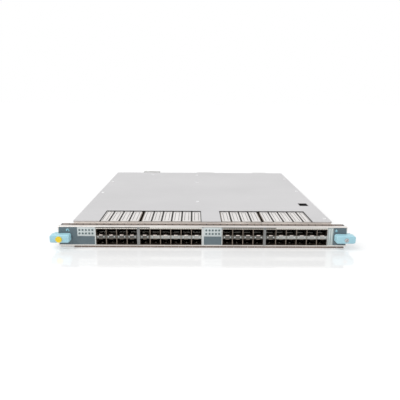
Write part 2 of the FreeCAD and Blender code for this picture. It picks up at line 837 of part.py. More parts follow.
def cover_screws():
    screws = []
    for across, back in SCREW_PLACES + POST_PLACES:
        head = prism("cover_screw_head", (across, back, "cover_top"), "screw_head_radius",
                     "screw_head_height", 12)
        shank = prism("cover_screw_shank", (across, back, "cover_bottom - screw_reach"), "screw_radius",
                      "screw_reach + cover_sheet + screw_head_height / 2", 6)
        screws.append(fused("cover_screw", [head, shank]))
    finish(group("cover_screw_set", screws), "cover_screws")


def cover_fixings():
    """Tall posts from the tray to the cover, and nuts pressed under the flanges of the walls."""
    fixings = []
    for across, back in POST_PLACES:
        post = prism("cover_post", (across, back, "tray_sheet"), "post_radius",
                     "cover_bottom - tray_sheet", 6)
        thread = prism("cover_post_thread", (across, back, "cover_bottom - screw_reach - tray_sheet"),
                       "screw_radius + screw_gap / 2", "2 * screw_reach", 6)
        fixings.append(cut("cover_post_bored", post, [thread]))
    for across, back in SCREW_PLACES:
        nut = prism("cover_nut", (across, back, "cover_bottom - tray_sheet - screw_reach"), "post_radius",
                    "screw_reach", 6)
        thread = prism("cover_nut_thread", (across, back, "cover_bottom - tray_sheet - 2 * screw_reach"),
                       "screw_radius + screw_gap / 2", "3 * screw_reach", 6)
        fixings.append(cut("cover_nut_bored", nut, [thread]))
    finish(group("cover_fixing_set", fixings), "cover_posts_and_nuts")


# ---- main board, its fixings, and the parts that it carries ----

BOARD_SCREW_PLACES = [
    ("board_screw_inset - board_width / 2", "board_screw_front"),
    ("board_screw_inset - board_width / 2", "board_rear - 2 * board_screw_inset"),
    ("board_width / 2 - board_screw_inset", "board_screw_front"),
    ("board_width / 2 - board_screw_inset", "board_rear - 2 * board_screw_inset"),
    ("board_screw_middle", "board_screw_front"),
    ("board_screw_right", "board_rear - 2 * board_screw_inset"),
]


def main_board():
    body = new_body("main_board_body")
    outline = new_sketch(body, "XY_Plane", "board_outline", offset="board_top - board_sheet")
    rectangle(outline, "-board_width / 2", "board_front", "board_width", "board_rear - board_front")
    pad(body, outline, "board_sheet")
    holes = new_sketch(body, "XY_Plane", "board_holes")
    for across, back in POST_PLACES:
        flat_sided(holes, (across, back), "post_radius + post_hole_gap", 6)
    for across, back in BOARD_SCREW_PLACES:
        flat_sided(holes, (across, back), "screw_radius + screw_gap", 6)
    pocket_through(body, holes)
    finish(body, "main_board")


def board_fixings():
    standoffs = []
    screws = []
    for across, back in BOARD_SCREW_PLACES:
        ring = prism("standoff", (across, back, "tray_sheet"), "standoff_radius",
                     "board_top - board_sheet - tray_sheet", 6)
        bore = prism("standoff_bore", (across, back, "0"), "screw_radius + screw_gap / 2", "board_top", 6)
        standoffs.append(cut("standoff_bored", ring, [bore]))
        head = prism("board_screw_head", (across, back, "board_top"), "board_screw_head_radius",
                     "board_screw_head_height", 6)
        shank = prism("board_screw_shank", (across, back, "tray_sheet"), "screw_radius",
                      "board_top - tray_sheet + board_screw_head_height / 2", 6)
        screws.append(fused("board_screw", [head, shank]))
    finish(group("standoff_set", standoffs), "board_standoffs")
    finish(group("board_screw_set", screws), "board_screws")


def wafer_plug(label, start, width, top):
    """Backplane plug: a stepped housing with one upright contact slot for each wafer."""
    body = new_body(label + "_body")
    section = new_sketch(body, "YZ_Plane", label + "_section", offset=start)
    front = "plug_rear - plug_depth"
    shoulder = "plug_rear - plug_shoulder_depth"
    polygon(section, [
        (front, "board_top"),
        ("board_rear + plug_tail_gap", "board_top"),
        ("board_rear + plug_tail_gap", "board_top - board_sheet"),
        ("plug_rear", "board_top - board_sheet"),
        ("plug_rear", top),
        (shoulder, top),
        (shoulder, f"{top} - plug_shoulder_drop"),
        (f"{front} + plug_shoulder_depth", f"{top} - plug_shoulder_drop"),
        (front, f"{top} - 2 * plug_shoulder_drop"),
    ])
    pad(body, section, width)
    slot = new_sketch(body, "XZ_Plane", label + "_slot", offset="-plug_rear")
    rectangle(slot, f"{start} + wafer_margin", "board_top + wafer_margin", "wafer_slot_width",
              f"{top} - board_top - 2 * wafer_margin")
    first = pocket_from(body, slot, "wafer_slot_depth", backwards=True)
    doc.recompute()
    slots = body.newObject("PartDesign::LinearPattern", label + "_slots")
    slots.Originals = [first]
    slots.Direction = (slot, ["H_Axis"])
    slots.Mode = "Spacing"
    room = f"({width} - 2 * wafer_margin - wafer_slot_width)"
    bind(slots, Offset="wafer_pitch", Occurrences=f"floor({room} / wafer_pitch) + 1")
    body.Tip = slots
    finish(body, label)


def power_plug():
    """Power plug: a plain housing with a few wide blade slots."""
    base = block("power_housing", ("power_start", "plug_rear - plug_depth", "board_top"),
                 ("power_width", "plug_depth", "plug_top - board_top"))
    step = block("power_step", ("power_start - plug_shoulder_depth", "plug_rear - 2 * plug_depth",
                                "plug_top - plug_shoulder_drop"),
                 ("power_width + 2 * plug_shoulder_depth", "2 * plug_depth - plug_shoulder_depth",
                  "2 * plug_shoulder_drop"))
    count = int(size("power_blades"))
    pitch = "(power_width - 2 * wafer_margin) / power_blades"
    slots = [block("power_slot", (f"power_start + wafer_margin + {index + 0.5} * {pitch} - wafer_slot_width",
                                  "plug_rear - wafer_slot_depth", "board_top + 2 * wafer_margin"),
                   ("2 * wafer_slot_width", "2 * wafer_slot_depth",
                    "plug_top - board_top - 4 * wafer_margin"))
             for index in range(count)]
    finish(cut("power_plug_cut", base, [step] + slots), "power_plug")


def guide_socket():
    """Socket at the rear that takes the backplane's guide pin."""
    base = block("guide_housing", ("guide_socket_start", "plug_rear - plug_depth", "board_top"),
                 ("guide_socket_width", "plug_depth", "guide_socket_height"))
    centre = ("guide_socket_start + guide_socket_width / 2", "board_top + guide_socket_height / 2")
    bore = rod("guide_bore", (centre[0], "plug_rear - guide_bore_depth", centre[1]), "guide_bore_radius",
               "2 * guide_bore_depth", along="y")
    mouth = doc.addObject("Part::Cone", "guide_mouth")
    mouth.Placement.Rotation = FreeCAD.Rotation(FreeCAD.Vector(1, 0, 0), -90)
    bind(mouth, Placement__Base__x=centre[0], Placement__Base__y="plug_rear - guide_lead_in",
         Placement__Base__z=centre[1])
    bind(mouth, Radius1="guide_bore_radius", Radius2="guide_bore_radius + 2 * guide_lead_in",
         Height="2 * guide_lead_in")
    finish(cut("guide_socket_cut", base, [bore, mouth]), "guide_socket")


def finned_sink(name, middle, back, width, bottom):
    base = block(name + "_base", (f"{middle} - {width} / 2", f"{back} - {width} / 2", bottom),
                 (width, width, "sink_base"))
    count = int(size(width) / size("fin_pitch"))
    fins = [block(name + "_fin", (f"{middle} + ({index} - ({count} - 1) / 2) * fin_pitch - fin_sheet / 2",
                                  f"{back} - {width} / 2", f"{bottom} + sink_base / 2"),
                  ("fin_sheet", width, "sink_height - sink_base / 2"))
            for index in range(count)]
    return fused(name, [base] + fins)


def chips_and_sinks():
    chips = []
    sinks = []
    for side, hand in SIDES.items():
        middle = f"chip_offset + {hand} * chip_spread / 2"
        chips.append(block(f"switch_chip_{side}",
                           (f"{middle} - chip_width / 2", "chip_middle - chip_width / 2", "board_top"),
                           ("chip_width", "chip_width", "chip_height")))
        sinks.append(finned_sink(f"switch_sink_{side}", middle, "chip_middle", "sink_width",
                                 "board_top + chip_height"))
    finish(group("switch_chip_pair", chips), "switch_chips")
    finish(group("switch_sink_pair", sinks), "switch_heat_sinks")
    chip = block("fabric_chip_block",
                 ("fabric_across - chip_width / 2", "fabric_middle - chip_width / 2", "board_top"),
                 ("chip_width", "chip_width", "chip_height"))
    finish(group("fabric_chip_placed", [chip]), "fabric_chip")
    finish(finned_sink("fabric_sink", "fabric_across", "fabric_middle", "fabric_sink_width",
                       "board_top + chip_height"), "fabric_heat_sink")


def small_chips():
    phys = [block("phy_chip",
                  (f"{place} * phy_pitch - phy_width / 2", "phy_middle - phy_width / 2", "board_top"),
                  ("phy_width", "phy_width", "phy_height")) for place in (-2, -1, 1, 2)]
    finish(group("phy_chip_set", phys), "line_chips")
    memories = [block("memory_chip",
                      (f"chip_offset + {hand} * chip_spread / 2 + {index - 1.5} * memory_pitch"
                       " - memory_width / 2", "sink_rear + memory_gap", "board_top"),
                      ("memory_width", "memory_depth", "memory_height"))
                for hand in SIDES.values() for index in range(4)]
    finish(group("memory_chip_set", memories), "memory_chips")


def control_module():
    """Small plug-in board on four posts, with its own processor."""
    board = block("module_board", ("module_left", "module_front", "board_top + module_lift"),
                  ("module_width", "module_depth", "module_sheet"))
    inset = "board_screw_inset"
    posts = [prism("module_post", (across, back, "board_top"), "screw_radius * 2",
                   "module_lift + module_sheet / 2", 6)
             for across in (f"module_left + {inset}", f"module_left + module_width - {inset}")
             for back in (f"module_front + {inset}", f"module_front + module_depth - {inset}")]
    chip = block("module_chip", ("module_left + module_width / 2 - phy_width / 2",
                                 "module_front + module_depth / 2 - phy_width / 2",
                                 "board_top + module_lift + module_sheet / 2"),
                 ("phy_width", "phy_width", "module_sheet / 2 + phy_height"))
    finish(fused("control_module_fused", [board, chip] + posts), "control_module")


def power_parts():
    bricks = [block("power_brick",
                    ("brick_left", f"sink_rear + brick_gap + {index} * brick_pitch", "board_top"),
                    ("brick_width", "brick_depth", "brick_height")) for index in range(2)]
    finish(group("power_brick_pair", bricks), "power_bricks")
    cans = [prism("capacitor", (f"capacitor_left + {column} * capacitor_pitch",
                                f"board_rear - capacitor_margin + {row} * capacitor_pitch", "board_top"),
                  "capacitor_radius", "capacitor_height", 12) for column in range(3) for row in range(2)]
    finish(group("capacitor_set", cans), "capacitors")


def service_header():
    header = block("header_block", ("header_left", "header_front", "board_top"),
                   ("header_width", "header_depth", "header_height"))
    groove = block("header_groove", ("header_left + header_width / 4", "header_front + header_width / 4",
                                     "board_top + header_height / 2"),
                   ("header_width / 2", "header_depth - header_width / 2", "header_height"))
    finish(cut("header_cut", header, [groove]), "service_header")


# ---- ejector levers: bar in front, arm round the panel's end, hub and claw behind ----

def lever(side, hand):
    body = new_body(f"lever_{side}_body")
    plan = new_sketch(body, "XY_Plane", f"lever_{side}_plan", offset="lever_bottom")
    outer = f"{hand} * (panel_end + lever_outer)"
    arm = f"{hand} * (panel_end + arm_gap)"
    slot_end = f"{hand} * (panel_end + lever_outer - claw_slot_depth)"
    polygon(plan, [
        (f"{hand} * (panel_end - lever_inner)", "-lever_gap"),
        (f"{hand} * (panel_end - lever_inner)", "-lever_reach"),
        (outer, "-lever_reach"),
        (outer, "claw_slot_front"),
        (slot_end, "claw_slot_front"),
        (slot_end, "claw_slot_front + claw_slot_width"),
        (outer, "claw_slot_front + claw_slot_width"),
        (outer, "pivot_back + hub_radius"),
        (f"{hand} * pivot_x", "pivot_back + hub_radius"),
        (f"{hand} * pivot_x", "pivot_back - hub_radius"),
        (arm, "pivot_back - hub_radius"),
        (arm, "-lever_gap"),
    ])
    pad(body, plan, "lever_height")
    hub = new_sketch(body, "XY_Plane", f"lever_{side}_hub", offset="lever_bottom")
    circle(hub, (f"{hand} * pivot_x", "pivot_back"), "hub_radius")
    solid = pad(body, hub, "lever_height")
    outer_x = hand * (size("panel_width") / 2 + size("lever_outer"))
    front_y = -size("lever_reach")

    def is_nose(edge):
        middle = edge.CenterOfMass
        at_outer = abs(middle.x - outer_x) < NEAR and middle.y < size("claw_slot_front") / 2
        return at_outer and runs_along(edge, ALONG_Y)

    def is_bar_rim(edge):
        return abs(edge.CenterOfMass.y - front_y) < NEAR

    solid = rounded(body, solid, "lever_round", is_nose)
    solid = chamfered(body, solid, "lever_edge", is_bar_rim)
    pin_hole = new_sketch(body, "XY_Plane", f"lever_{side}_pin_hole")
    circle(pin_hole, (f"{hand} * pivot_x", "pivot_back"), "pin_radius + pin_gap")
    pocket_through(body, pin_hole)
    centre = (f"{hand} * lock_x", "lock_height")
    head_hole = new_sketch(body, "XZ_Plane", f"lever_{side}_head_hole", offset="lever_reach")
    circle(head_hole, centre, "lock_head_radius + lock_head_gap")
    pocket_from(body, head_hole, "lock_head_depth - lock_proud")
    shank_hole = new_sketch(body, "XZ_Plane", f"lever_{side}_shank_hole", offset="lever_reach")
    flat_sided(shank_hole, centre, f"{ROUND_IN_FLATS:.5f} * (lock_radius + lock_hole_gap)")
    pocket_from(body, shank_hole, "lever_reach - lever_gap")
    clip_hole = new_sketch(body, "XZ_Plane", f"lever_{side}_clip_hole", offset="lever_gap")
    flat_sided(clip_hole, centre, f"{ROUND_IN_FLATS:.5f} * (clip_radius + lock_head_gap)")
    pocket_from(body, clip_hole, "clip_setback + clip_sheet + clip_gap", backwards=True)
    finish(body, f"lever_{side}")


def lever_brackets():
    brackets = []
    for side, hand in SIDES.items():
        inner_end = f"{hand} * (panel_end - web_inner)"
        ears = []
        for name, level in (("lower", "pin_bottom"), ("upper", "lever_top + ear_gap")):
            body = new_body(f"ear_{name}_{side}")
            plan = new_sketch(body, "XY_Plane", f"ear_plan_{name}_{side}", offset=level)
            polygon(plan, [
                (inner_end, "panel_sheet"),
                (f"{hand} * (panel_end - ear_margin)", "panel_sheet"),
                (f"{hand} * (panel_end - ear_margin)", "pivot_back + hub_radius / 2"),
                (f"{hand} * pivot_x", "pivot_back + hub_radius"),
                (inner_end, "pivot_back + hub_radius"),
            ])
            pad(body, plan, "ear_sheet")
            bore = new_sketch(body, "XY_Plane", f"ear_bore_{name}_{side}")
            flat_sided(bore, (f"{hand} * pivot_x", "pivot_back"), f"{ROUND_IN_FLATS:.5f} * pin_radius")
            pocket_through(body, bore)
            ears.append(body)
        left = inner_end if hand > 0 else f"{inner_end} - web_width"
        web = block(f"bracket_web_{side}", (left, "panel_sheet", "pin_bottom"),
                    ("web_width", "ear_sheet", "pin_length"))
        brackets.append(fused(f"bracket_{side}", ears + [web]))
    finish(group("bracket_pair", brackets), "lever_brackets")


def pivot_pins():
    pins = []
    for side, hand in SIDES.items():
        place = (f"{hand} * pivot_x", "pivot_back")
        shank = rod(f"pin_{side}", (*place, "pin_bottom"), "pin_radius", "pin_length")
        foot = prism(f"pin_foot_{side}", (*place, "pin_bottom - pin_head_height"), "pin_head_radius",
                     "pin_head_height", 12)
        head = prism(f"pin_head_{side}", (*place, "lever_top + ear_gap + ear_sheet"), "pin_head_radius",
                     "pin_head_height", 12)
        pins.append(fused(f"pin_whole_{side}", [shank, foot, head]))
    finish(group("pin_pair", pins), "pivot_pins")


# ---- captive screws: one through the bar of each lever, backed off behind the panel's face ----

def captive_screw(side, hand):
    front = "-(lever_reach + lock_proud)"
    tip = "-(lever_gap + lock_tip_gap)"
    across = f"{hand} * lock_x"
    head = prism(f"screw_head_{side}", (across, front, "lock_height"), "lock_head_radius",
                 "lock_head_depth", 24, along="y")
    shank = prism(f"screw_shank_{side}", (across, f"{front} + lock_recess_depth", "lock_height"),
                  "lock_radius", f"{tip} - ({front}) - lock_recess_depth", 12, along="y")
    recess = prism(f"screw_recess_{side}", (across, f"{front} - lock_recess_depth", "lock_height"),
                   "lock_recess_radius", "2 * lock_recess_depth", 6, along="y")
    finish(cut(f"screw_{side}", fused(f"screw_solid_{side}", [head, shank]), [recess]),
           f"captive_screw_{side}")
    clip = prism(f"clip_{side}", (across, "-(lever_gap + clip_setback + clip_sheet)", "lock_height"),
                 "clip_radius", "clip_sheet", 8, along="y")
    core = prism(f"clip_core_{side}", (across, "-lever_reach", "lock_height"),
                 f"{ROUND_IN_FLATS:.5f} * lock_radius", "lever_reach", 8, along="y")
    finish(cut(f"clip_ring_{side}", clip, [core]), f"screw_clip_{side}")


def screw_cap():
    """Yellow cap over the left screw, with a six-sided stem in its recess."""
    crown = prism("cap_crown", ("-lock_x", "-(lever_reach + cap_gap + cap_height)", "lock_height"),
                  "cap_radius", "cap_height - lock_proud", 24, along="y")
    stem = prism("cap_stem", ("-lock_x", "-(lever_reach + cap_gap + cap_height / 2)", "lock_height"),
                 "cap_stem_radius", "cap_gap + cap_height / 2 + lock_recess_depth - lock_proud", 6, along="y")
    finish(fused("screw_cap", [crown, stem]), "screw_cap_left")


def lock_nuts():
    nuts = []
    for side, hand in SIDES.items():
        barrel = prism(f"nut_barrel_{side}", (f"{hand} * lock_x", "0", "lock_height"), "nut_radius",
                       "panel_sheet + nut_flange_depth", 8, along="y")
        flange = prism(f"nut_flange_{side}", (f"{hand} * lock_x", "panel_sheet", "lock_height"),
                       "nut_flange_radius", "nut_flange_depth", 8, along="y")
        thread = prism(f"nut_thread_{side}", (f"{hand} * lock_x", "-panel_sheet", "lock_height"),
                       f"{ROUND_IN_FLATS:.5f} * (lock_radius + lock_hole_gap / 2)",
                       "3 * panel_sheet + nut_flange_depth", 8, along="y")
        nuts.append(cut(f"nut_{side}", fused(f"nut_body_{side}", [barrel, flange]), [thread]))
    finish(group("nut_pair", nuts), "lock_nuts")


# ---- build, check and write ----

front_panel()
face_film()
id_plate()
indicators()
for cage in CAGES:
    cage_shell(*cage)
    cage_floor(*cage)
    cage_dividers(*cage)
    cage_bars(*cage)
    cage_sockets(*cage)
port_light_pipes()
top_gasket()
tray()
cover()
cover_screws()
cover_fixings()
main_board()
board_fixings()
wafer_plug("signal_plug_left", "signal_left_start", "signal_left_width", "signal_left_top")
wafer_plug("signal_plug_middle", "signal_middle_start", "signal_middle_width", "plug_top")
power_plug()
guide_socket()
chips_and_sinks()
small_chips()
control_module()
power_parts()
service_header()
for side, hand in SIDES.items():
    lever(side, hand)
    captive_screw(side, hand)
lever_brackets()
pivot_pins()
screw_cap()
lock_nuts()
doc.recompute()

for item in doc.Objects:
    if "Invalid" in item.State or "Error" in item.State:
        raise RuntimeError(f"{item.Name} ({item.Label}) failed: {item.State}")
for node in nodes:
    if node.Shape.isNull() or not node.Shape.isValid():
        raise RuntimeError(f"{node.Label} has no valid shape")

os.makedirs("parts", exist_ok=True)
for node in nodes:
    node.Shape.exportStep(f"parts/{node.Label}.step")
print(len(nodes), "sub-parts,", sum(len(node.Shape.Solids) for node in nodes), "solids")
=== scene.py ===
# %% [markdown]
# The card was drawn first as solids, in metres: X runs along the panel, Y back into the card and Z up.
# Loading it gives every part in its place, so each finish and each fine piece made here has something
# to sit on. The parts themselves are never moved.

# %% Load the frame
import math

import bmesh
import bpy
from mathutils import Matrix, Vector


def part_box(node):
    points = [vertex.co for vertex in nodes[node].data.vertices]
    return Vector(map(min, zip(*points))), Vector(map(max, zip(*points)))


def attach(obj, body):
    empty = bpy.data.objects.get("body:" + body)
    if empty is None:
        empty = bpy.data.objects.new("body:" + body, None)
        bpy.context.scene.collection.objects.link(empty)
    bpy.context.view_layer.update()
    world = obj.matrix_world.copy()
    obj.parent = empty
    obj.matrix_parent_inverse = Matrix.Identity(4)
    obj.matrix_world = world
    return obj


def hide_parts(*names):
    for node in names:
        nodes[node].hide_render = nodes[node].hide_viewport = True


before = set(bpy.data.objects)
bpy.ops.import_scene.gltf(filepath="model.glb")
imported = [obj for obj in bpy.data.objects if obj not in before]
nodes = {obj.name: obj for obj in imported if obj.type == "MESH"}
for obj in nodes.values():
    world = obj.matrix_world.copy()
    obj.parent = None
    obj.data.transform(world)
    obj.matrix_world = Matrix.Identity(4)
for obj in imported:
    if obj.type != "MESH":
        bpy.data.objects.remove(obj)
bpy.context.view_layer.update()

# %% [markdown]
# Sizes on such a card are given in millimetres, and places along its depth are easiest to read from the
# front face of the panel. One function turns such a place into the frame's metres, so no other line has
# to mix the two units.

# %% Places in millimetres
MM = 0.001
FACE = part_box("front_panel")[0].y


def place(across, back, up):
    """A point in metres, from millimetres along the panel, behind its face and above the shelf."""
    return Vector((across * MM, FACE + back * MM, up * MM))


print("the panel's face is at Y", round(FACE, 5))

# %% [markdown]
# The camera looks a little down on the panel from the front, from about an arm's length. A lens of about
# 40 mm keeps the far edge of the cover shorter than the panel, as the eye sees it from there. A constraint
# could aim the camera, but the view also leans by half a degree, so its three angles are written out and
# its axes are worked out from them.

# %% Camera
EYE = Vector((-0.01348, -0.801715, 0.21234))
YAW, PITCH, ROLL = (math.radians(angle) for angle in (0.83, 13.68, 0.48))
LENS = 40.5
SENSOR = 36

ahead = Vector((math.sin(YAW) * math.cos(PITCH), math.cos(YAW) * math.cos(PITCH), -math.sin(PITCH)))
level = Vector((math.cos(YAW), -math.sin(YAW), 0))
upright = level.cross(ahead)
right = math.cos(ROLL) * level + math.sin(ROLL) * upright
above = math.cos(ROLL) * upright - math.sin(ROLL) * level

lens = bpy.data.cameras.new("camera")
lens.lens = LENS
lens.sensor_width = SENSOR
camera = bpy.data.objects.new("camera", lens)
bpy.context.scene.collection.objects.link(camera)
camera.matrix_world = Matrix.Translation(EYE) @ Matrix((right, above, -ahead)).transposed().to_4x4()
bpy.context.scene.camera = camera
bpy.context.scene.view_settings.view_transform = "Standard"
print("camera", tuple(round(value, 3) for value in camera.location))

# %% [markdown]
# A material is a small tree of nodes. One function adds a node with its settings and links, so each
# finish below reads as a list of what goes into it. Colours are written as hex values, as a paint chart
# gives them, and turned into the linear values that the shader wants.

# %% Helpers for materials


def colour(code):
    """A hex colour as linear red, green, blue and alpha."""
    parts = [int(code[start:start + 2], 16) / 255 for start in (1, 3, 5)]
    linear = [part / 12.92 if part <= 0.04045 else ((part + 0.055) / 1.055) ** 2.4 for part in parts]
    return linear + [1.0]


def add(tree, kind, links=None, **settings):
    """Add one node. Settings are its inputs or its own properties, links are inputs fed by outputs."""
    node = tree.nodes.new(kind)
    for name, value in settings.items():
        label = name.replace("_", " ")
        if label in node.inputs:
            node.inputs[label].default_value = value
        else:
            setattr(node, name, value)
    for name, output in (links or {}).items():
        tree.links.new(output, node.inputs[name])
    return node


def new_material(name, **surface):
    """A material with its Principled shader's even values set, and its tree ready for a pattern."""
    material = bpy.data.materials.new(name)
    material.use_nodes = True
    shader = material.node_tree.nodes["Principled BSDF"]
    for label, value in surface.items():
        shader.inputs[label.replace("_", " ")].default_value = value
    return material, material.node_tree, shader


def grained(name, shades, grain, blotch, rough, relief, **surface):
    """A finish with a fine grain and slow blotches.

    Both vary its colour, and the grain also varies its gloss and its relief. grain and blotch are the
    lengths of the pattern along X, Y and Z in millimetres, rough is the lowest and highest roughness, and
    relief is the height of the grain in millimetres.
    """
    material, tree, shader = new_material(name, **surface)
    spot = add(tree, "ShaderNodeTexCoord").outputs["Object"]
    layers = []
    for size in (grain, blotch):
        scale = [1 / (side * MM) for side in size]
        scaled = add(tree, "ShaderNodeMapping", {"Vector": spot}, Scale=scale)
        noise = add(tree, "ShaderNodeTexNoise", {"Vector": scaled.outputs[0]}, Scale=1, Detail=3)
        layers.append(noise.outputs[0])
    # One noise stays near a half and the sum of two near one, so the ranges are set round those.
    both = add(tree, "ShaderNodeMath", {0: layers[0], 1: layers[1]}, operation="ADD")
    shade = add(tree, "ShaderNodeMapRange", {"Value": both.outputs[0]}, From_Min=0.7, From_Max=1.3)
    ramp = add(tree, "ShaderNodeValToRGB", {"Fac": shade.outputs[0]})
    for stop, code in zip(ramp.color_ramp.elements, shades):
        stop.color = colour(code)
    gloss = add(tree, "ShaderNodeMapRange", {"Value": layers[0]}, From_Min=0.35, From_Max=0.65,
                To_Min=rough[0], To_Max=rough[1])
    bump = add(tree, "ShaderNodeBump", {"Height": layers[0]}, Strength=1, Distance=relief * MM)
    tree.links.new(ramp.outputs[0], shader.inputs["Base Color"])
    tree.links.new(gloss.outputs[0], shader.inputs["Roughness"])
    tree.links.new(bump.outputs[0], shader.inputs["Normal"])
    return material


print("helpers ready")

# %% [markdown]
# The sheet metal comes first. A bitmap of scratches could give its look, but a noise stretched along the
# way that the sheet was rolled gives the same soft lines and has no seams. Rolled lines are finer than a
# tenth of a millimetre on the real sheet, so they are drawn 1 to 2 mm wide here to show at all.

# %% Sheet metals
# Bright and a little warm, with soft drawn lines along X: the folded panel.
plated_steel = grained("nickel_plated_steel", ("#d6d0cb", "#ece7e2"), (60, 1.2, 1.2), (40, 25, 25),
                       (0.30, 0.42), 0.004, Metallic=1.0)
# The same lines on a sheet painted darker, as painted shade for the shade under the panel, so the tray
# stays quiet there.
tray_steel_painted_shade = grained("plated_steel_tray", ("#7b7673", "#908b87"), (60, 1.5, 1.2), (50, 30, 25),
                     (0.38, 0.50), 0.004, Metallic=1.0)
# A cooler and flatter grey with a faint cloudiness, as zinc has after its passivating bath.
cover_zinc = grained("zinc_passivated_sheet", ("#cccbcc", "#d5d4d5"), (90, 1.6, 1.6), (120, 90, 90),
                     (0.42, 0.52), 0.003, Metallic=1.0)
# A dull, brownish nickel, painted darker as painted shade: it keeps the insides of the ports dark but not
# black.
cage_nickel_painted_shade = grained("dull_nickel_cage", ("#80766c", "#958a7f"), (6, 30, 6), (30, 40, 30),
                      (0.38, 0.50), 0.003, Metallic=1.0)
# The lids are the cage's nickel painted brighter, as painted light on the faces turned to the lamp; rolled
# along Y, they stand out against the cover.
lid_nickel_painted_light = grained("bright_nickel_lid", ("#dfdcda", "#ebe8e6"), (1.5, 40, 1.5), (14, 30, 14),
                     (0.40, 0.55), 0.003, Metallic=1.0)
# In a groove the nickel is painted darker and duller, as painted shade, so the eye sees two soft grey lines
# on each lid.
groove_nickel_painted_shade = grained("dull_nickel_groove", ("#908d8b", "#a5a2a0"), (1.0, 30, 1.0), (12, 30, 12),
                        (0.45, 0.58), 0.003, Metallic=0.8)
# Brushed upright, so the narrow trims catch the lamp along their whole height.
trim_nickel = grained("pressed_nickel_trim", ("#c3c7c6", "#d6d9d8"), (1.0, 1.0, 20), (6, 6, 12),
                      (0.34, 0.46), 0.004, Metallic=0.8)
# The same brushing, painted darker as painted shade: these strips between the cages carry the shade of the
# gap.
gap_nickel_painted_shade = grained("dull_nickel_strip", ("#7f8080", "#939493"), (1.0, 1.0, 20), (6, 6, 12),
                     (0.40, 0.52), 0.004, Metallic=0.7)
print("sheet metals:", len(bpy.data.materials))

# %% [markdown]
# Some strips of the cages are printed. The ink is half clear, so the metal under it still gives a little
# shine, which a metallic value between nought and one stands for. The ink's grain is drawn at 0.9 mm.

# %% Prints on metal
# A dark warm grey, which joins the first five columns of ports into one dark field.
bar_dark = grained("dark_printed_strip", ("#62605c", "#706e69"), (0.9, 0.9, 0.9), (12, 8, 8),
                   (0.40, 0.52), 0.006, Metallic=0.6)
# A middle grey for the bars of the last five columns.
bar_pale = grained("pale_printed_strip", ("#a3a4a0", "#b3b3ae"), (0.9, 0.9, 0.9), (12, 8, 8),
                   (0.38, 0.50), 0.006, Metallic=0.6)
# Nearly white, for the band over those columns.
band_nickel = grained("pale_band_print", ("#d3d1ca", "#e2e0da"), (0.9, 0.9, 0.9), (12, 8, 8),
                      (0.40, 0.52), 0.006, Metallic=0.6)
print("with prints:", len(bpy.data.materials))

# %% [markdown]
# Springs, screws, heat sinks and contacts are small, so what the eye reads is their tint and how sharp
# their highlights are. A plain colour would make them look painted, so each has a grain of about a
# millimetre, coarser than the real one.

# %% Small metal parts
# Brown and half bright, with lines across each finger: the gasket reads as a row of soft glints.
spring_copper = grained("beryllium_copper_strip", ("#7a6c64", "#988a82"), (9, 0.8, 0.8), (25, 9, 9),
                        (0.30, 0.45), 0.004, Metallic=1.0)
# Bright, smooth and faintly pink, a painted highlight, so every tongue gives one point of light.
tongue_nickel_painted_highlight = grained("polished_nickel_tongue", ("#e6d9d2", "#f4e9e3"), (1.0, 1.0, 1.0), (6, 6, 6),
                        (0.24, 0.34), 0.003, Metallic=0.8)
# A lighter copy of the cage nickel, as painted light: a step darker than the tongues' painted highlight, so
# the fingers read as a grey comb behind them.
finger_nickel_painted_light = grained("nickel_spring_finger", ("#b9b8b2", "#d6d5cf"), (1.0, 1.0, 1.0), (5, 5, 5),
                        (0.28, 0.40), 0.003, Metallic=0.9)
# A neutral turned steel, which shows its rim as a thin bright ring.
screw_steel = grained("zinc_plated_screw_steel", ("#a9a9ab", "#cfcfd0"), (1.2, 1.2, 1.2), (6, 6, 6),
                      (0.25, 0.38), 0.004, Metallic=1.0)
# Almost white, so the cover's screws show as light dots on the sheet.
bright_zinc = grained("bright_zinc_screw", ("#e6e6e6", "#f6f6f6"), (1.2, 1.2, 1.2), (6, 6, 6),
                      (0.30, 0.42), 0.004, Metallic=0.7)
# Extruded along Y and anodised: a soft, slightly blue sheen along the fins.
sink_aluminium = grained("anodised_aluminium", ("#85888c", "#a2a5a9"), (1.5, 45, 1.5), (30, 30, 30),
                         (0.35, 0.48), 0.004, Metallic=1.0)
# Thin gold over nickel: a warm line in each slot of the rear plugs.
contact_gold = grained("gold_plated_contact", ("#b88c3c", "#d8ac58"), (1.0, 1.0, 1.0), (6, 6, 6),
                       (0.22, 0.32), 0.002, Metallic=1.0)
print("all metals:", len(bpy.data.materials))

# %% [markdown]
# The plastics differ by how they are made. Films, plates and signs are printed polycarbonate with a fine
# matt texture. It is finer than a tenth of a millimetre on the real film and is drawn at 0.8 to 0.9 mm. A
# flat colour would do from afar, but the grain breaks the highlights, so the film doesn't look like paint.

# %% Films and printed plates
# A matt slate blue: the field that the ports and the indicators lie in.
slate_film = grained("slate_printed_film", ("#586870", "#68777d"), (0.9, 0.9, 0.9), (45, 20, 18),
                     (0.42, 0.56), 0.010, IOR=1.58)
# The same film printed pale, with the faintest green.
pale_film = grained("pale_printed_film", ("#c6cfcd", "#d3dbd9"), (0.9, 0.9, 0.9), (12, 12, 12),
                    (0.42, 0.54), 0.008, IOR=1.58)
# A flat light blue for the two signs, paler than the levers beside them.
sign_blue = grained("pale_blue_print", ("#93c8d6", "#a8d6e2"), (0.8, 0.8, 0.8), (3, 3, 3),
                    (0.42, 0.54), 0.004, IOR=1.58)
# A middle grey, against which the two white strips of the right plate stand out.
plate_grey = grained("pale_grey_print", ("#a9b3b1", "#b9c2c0"), (0.9, 0.9, 0.9), (9, 9, 9),
                     (0.40, 0.52), 0.006, IOR=1.58)
# A cool near-white, so that the dark lenses are easy to tell from their plate.
plate_white = grained("pale_plate_print", ("#c8d1d1", "#d6dddd"), (0.9, 0.9, 0.9), (9, 9, 9),
                      (0.40, 0.52), 0.006, IOR=1.58)
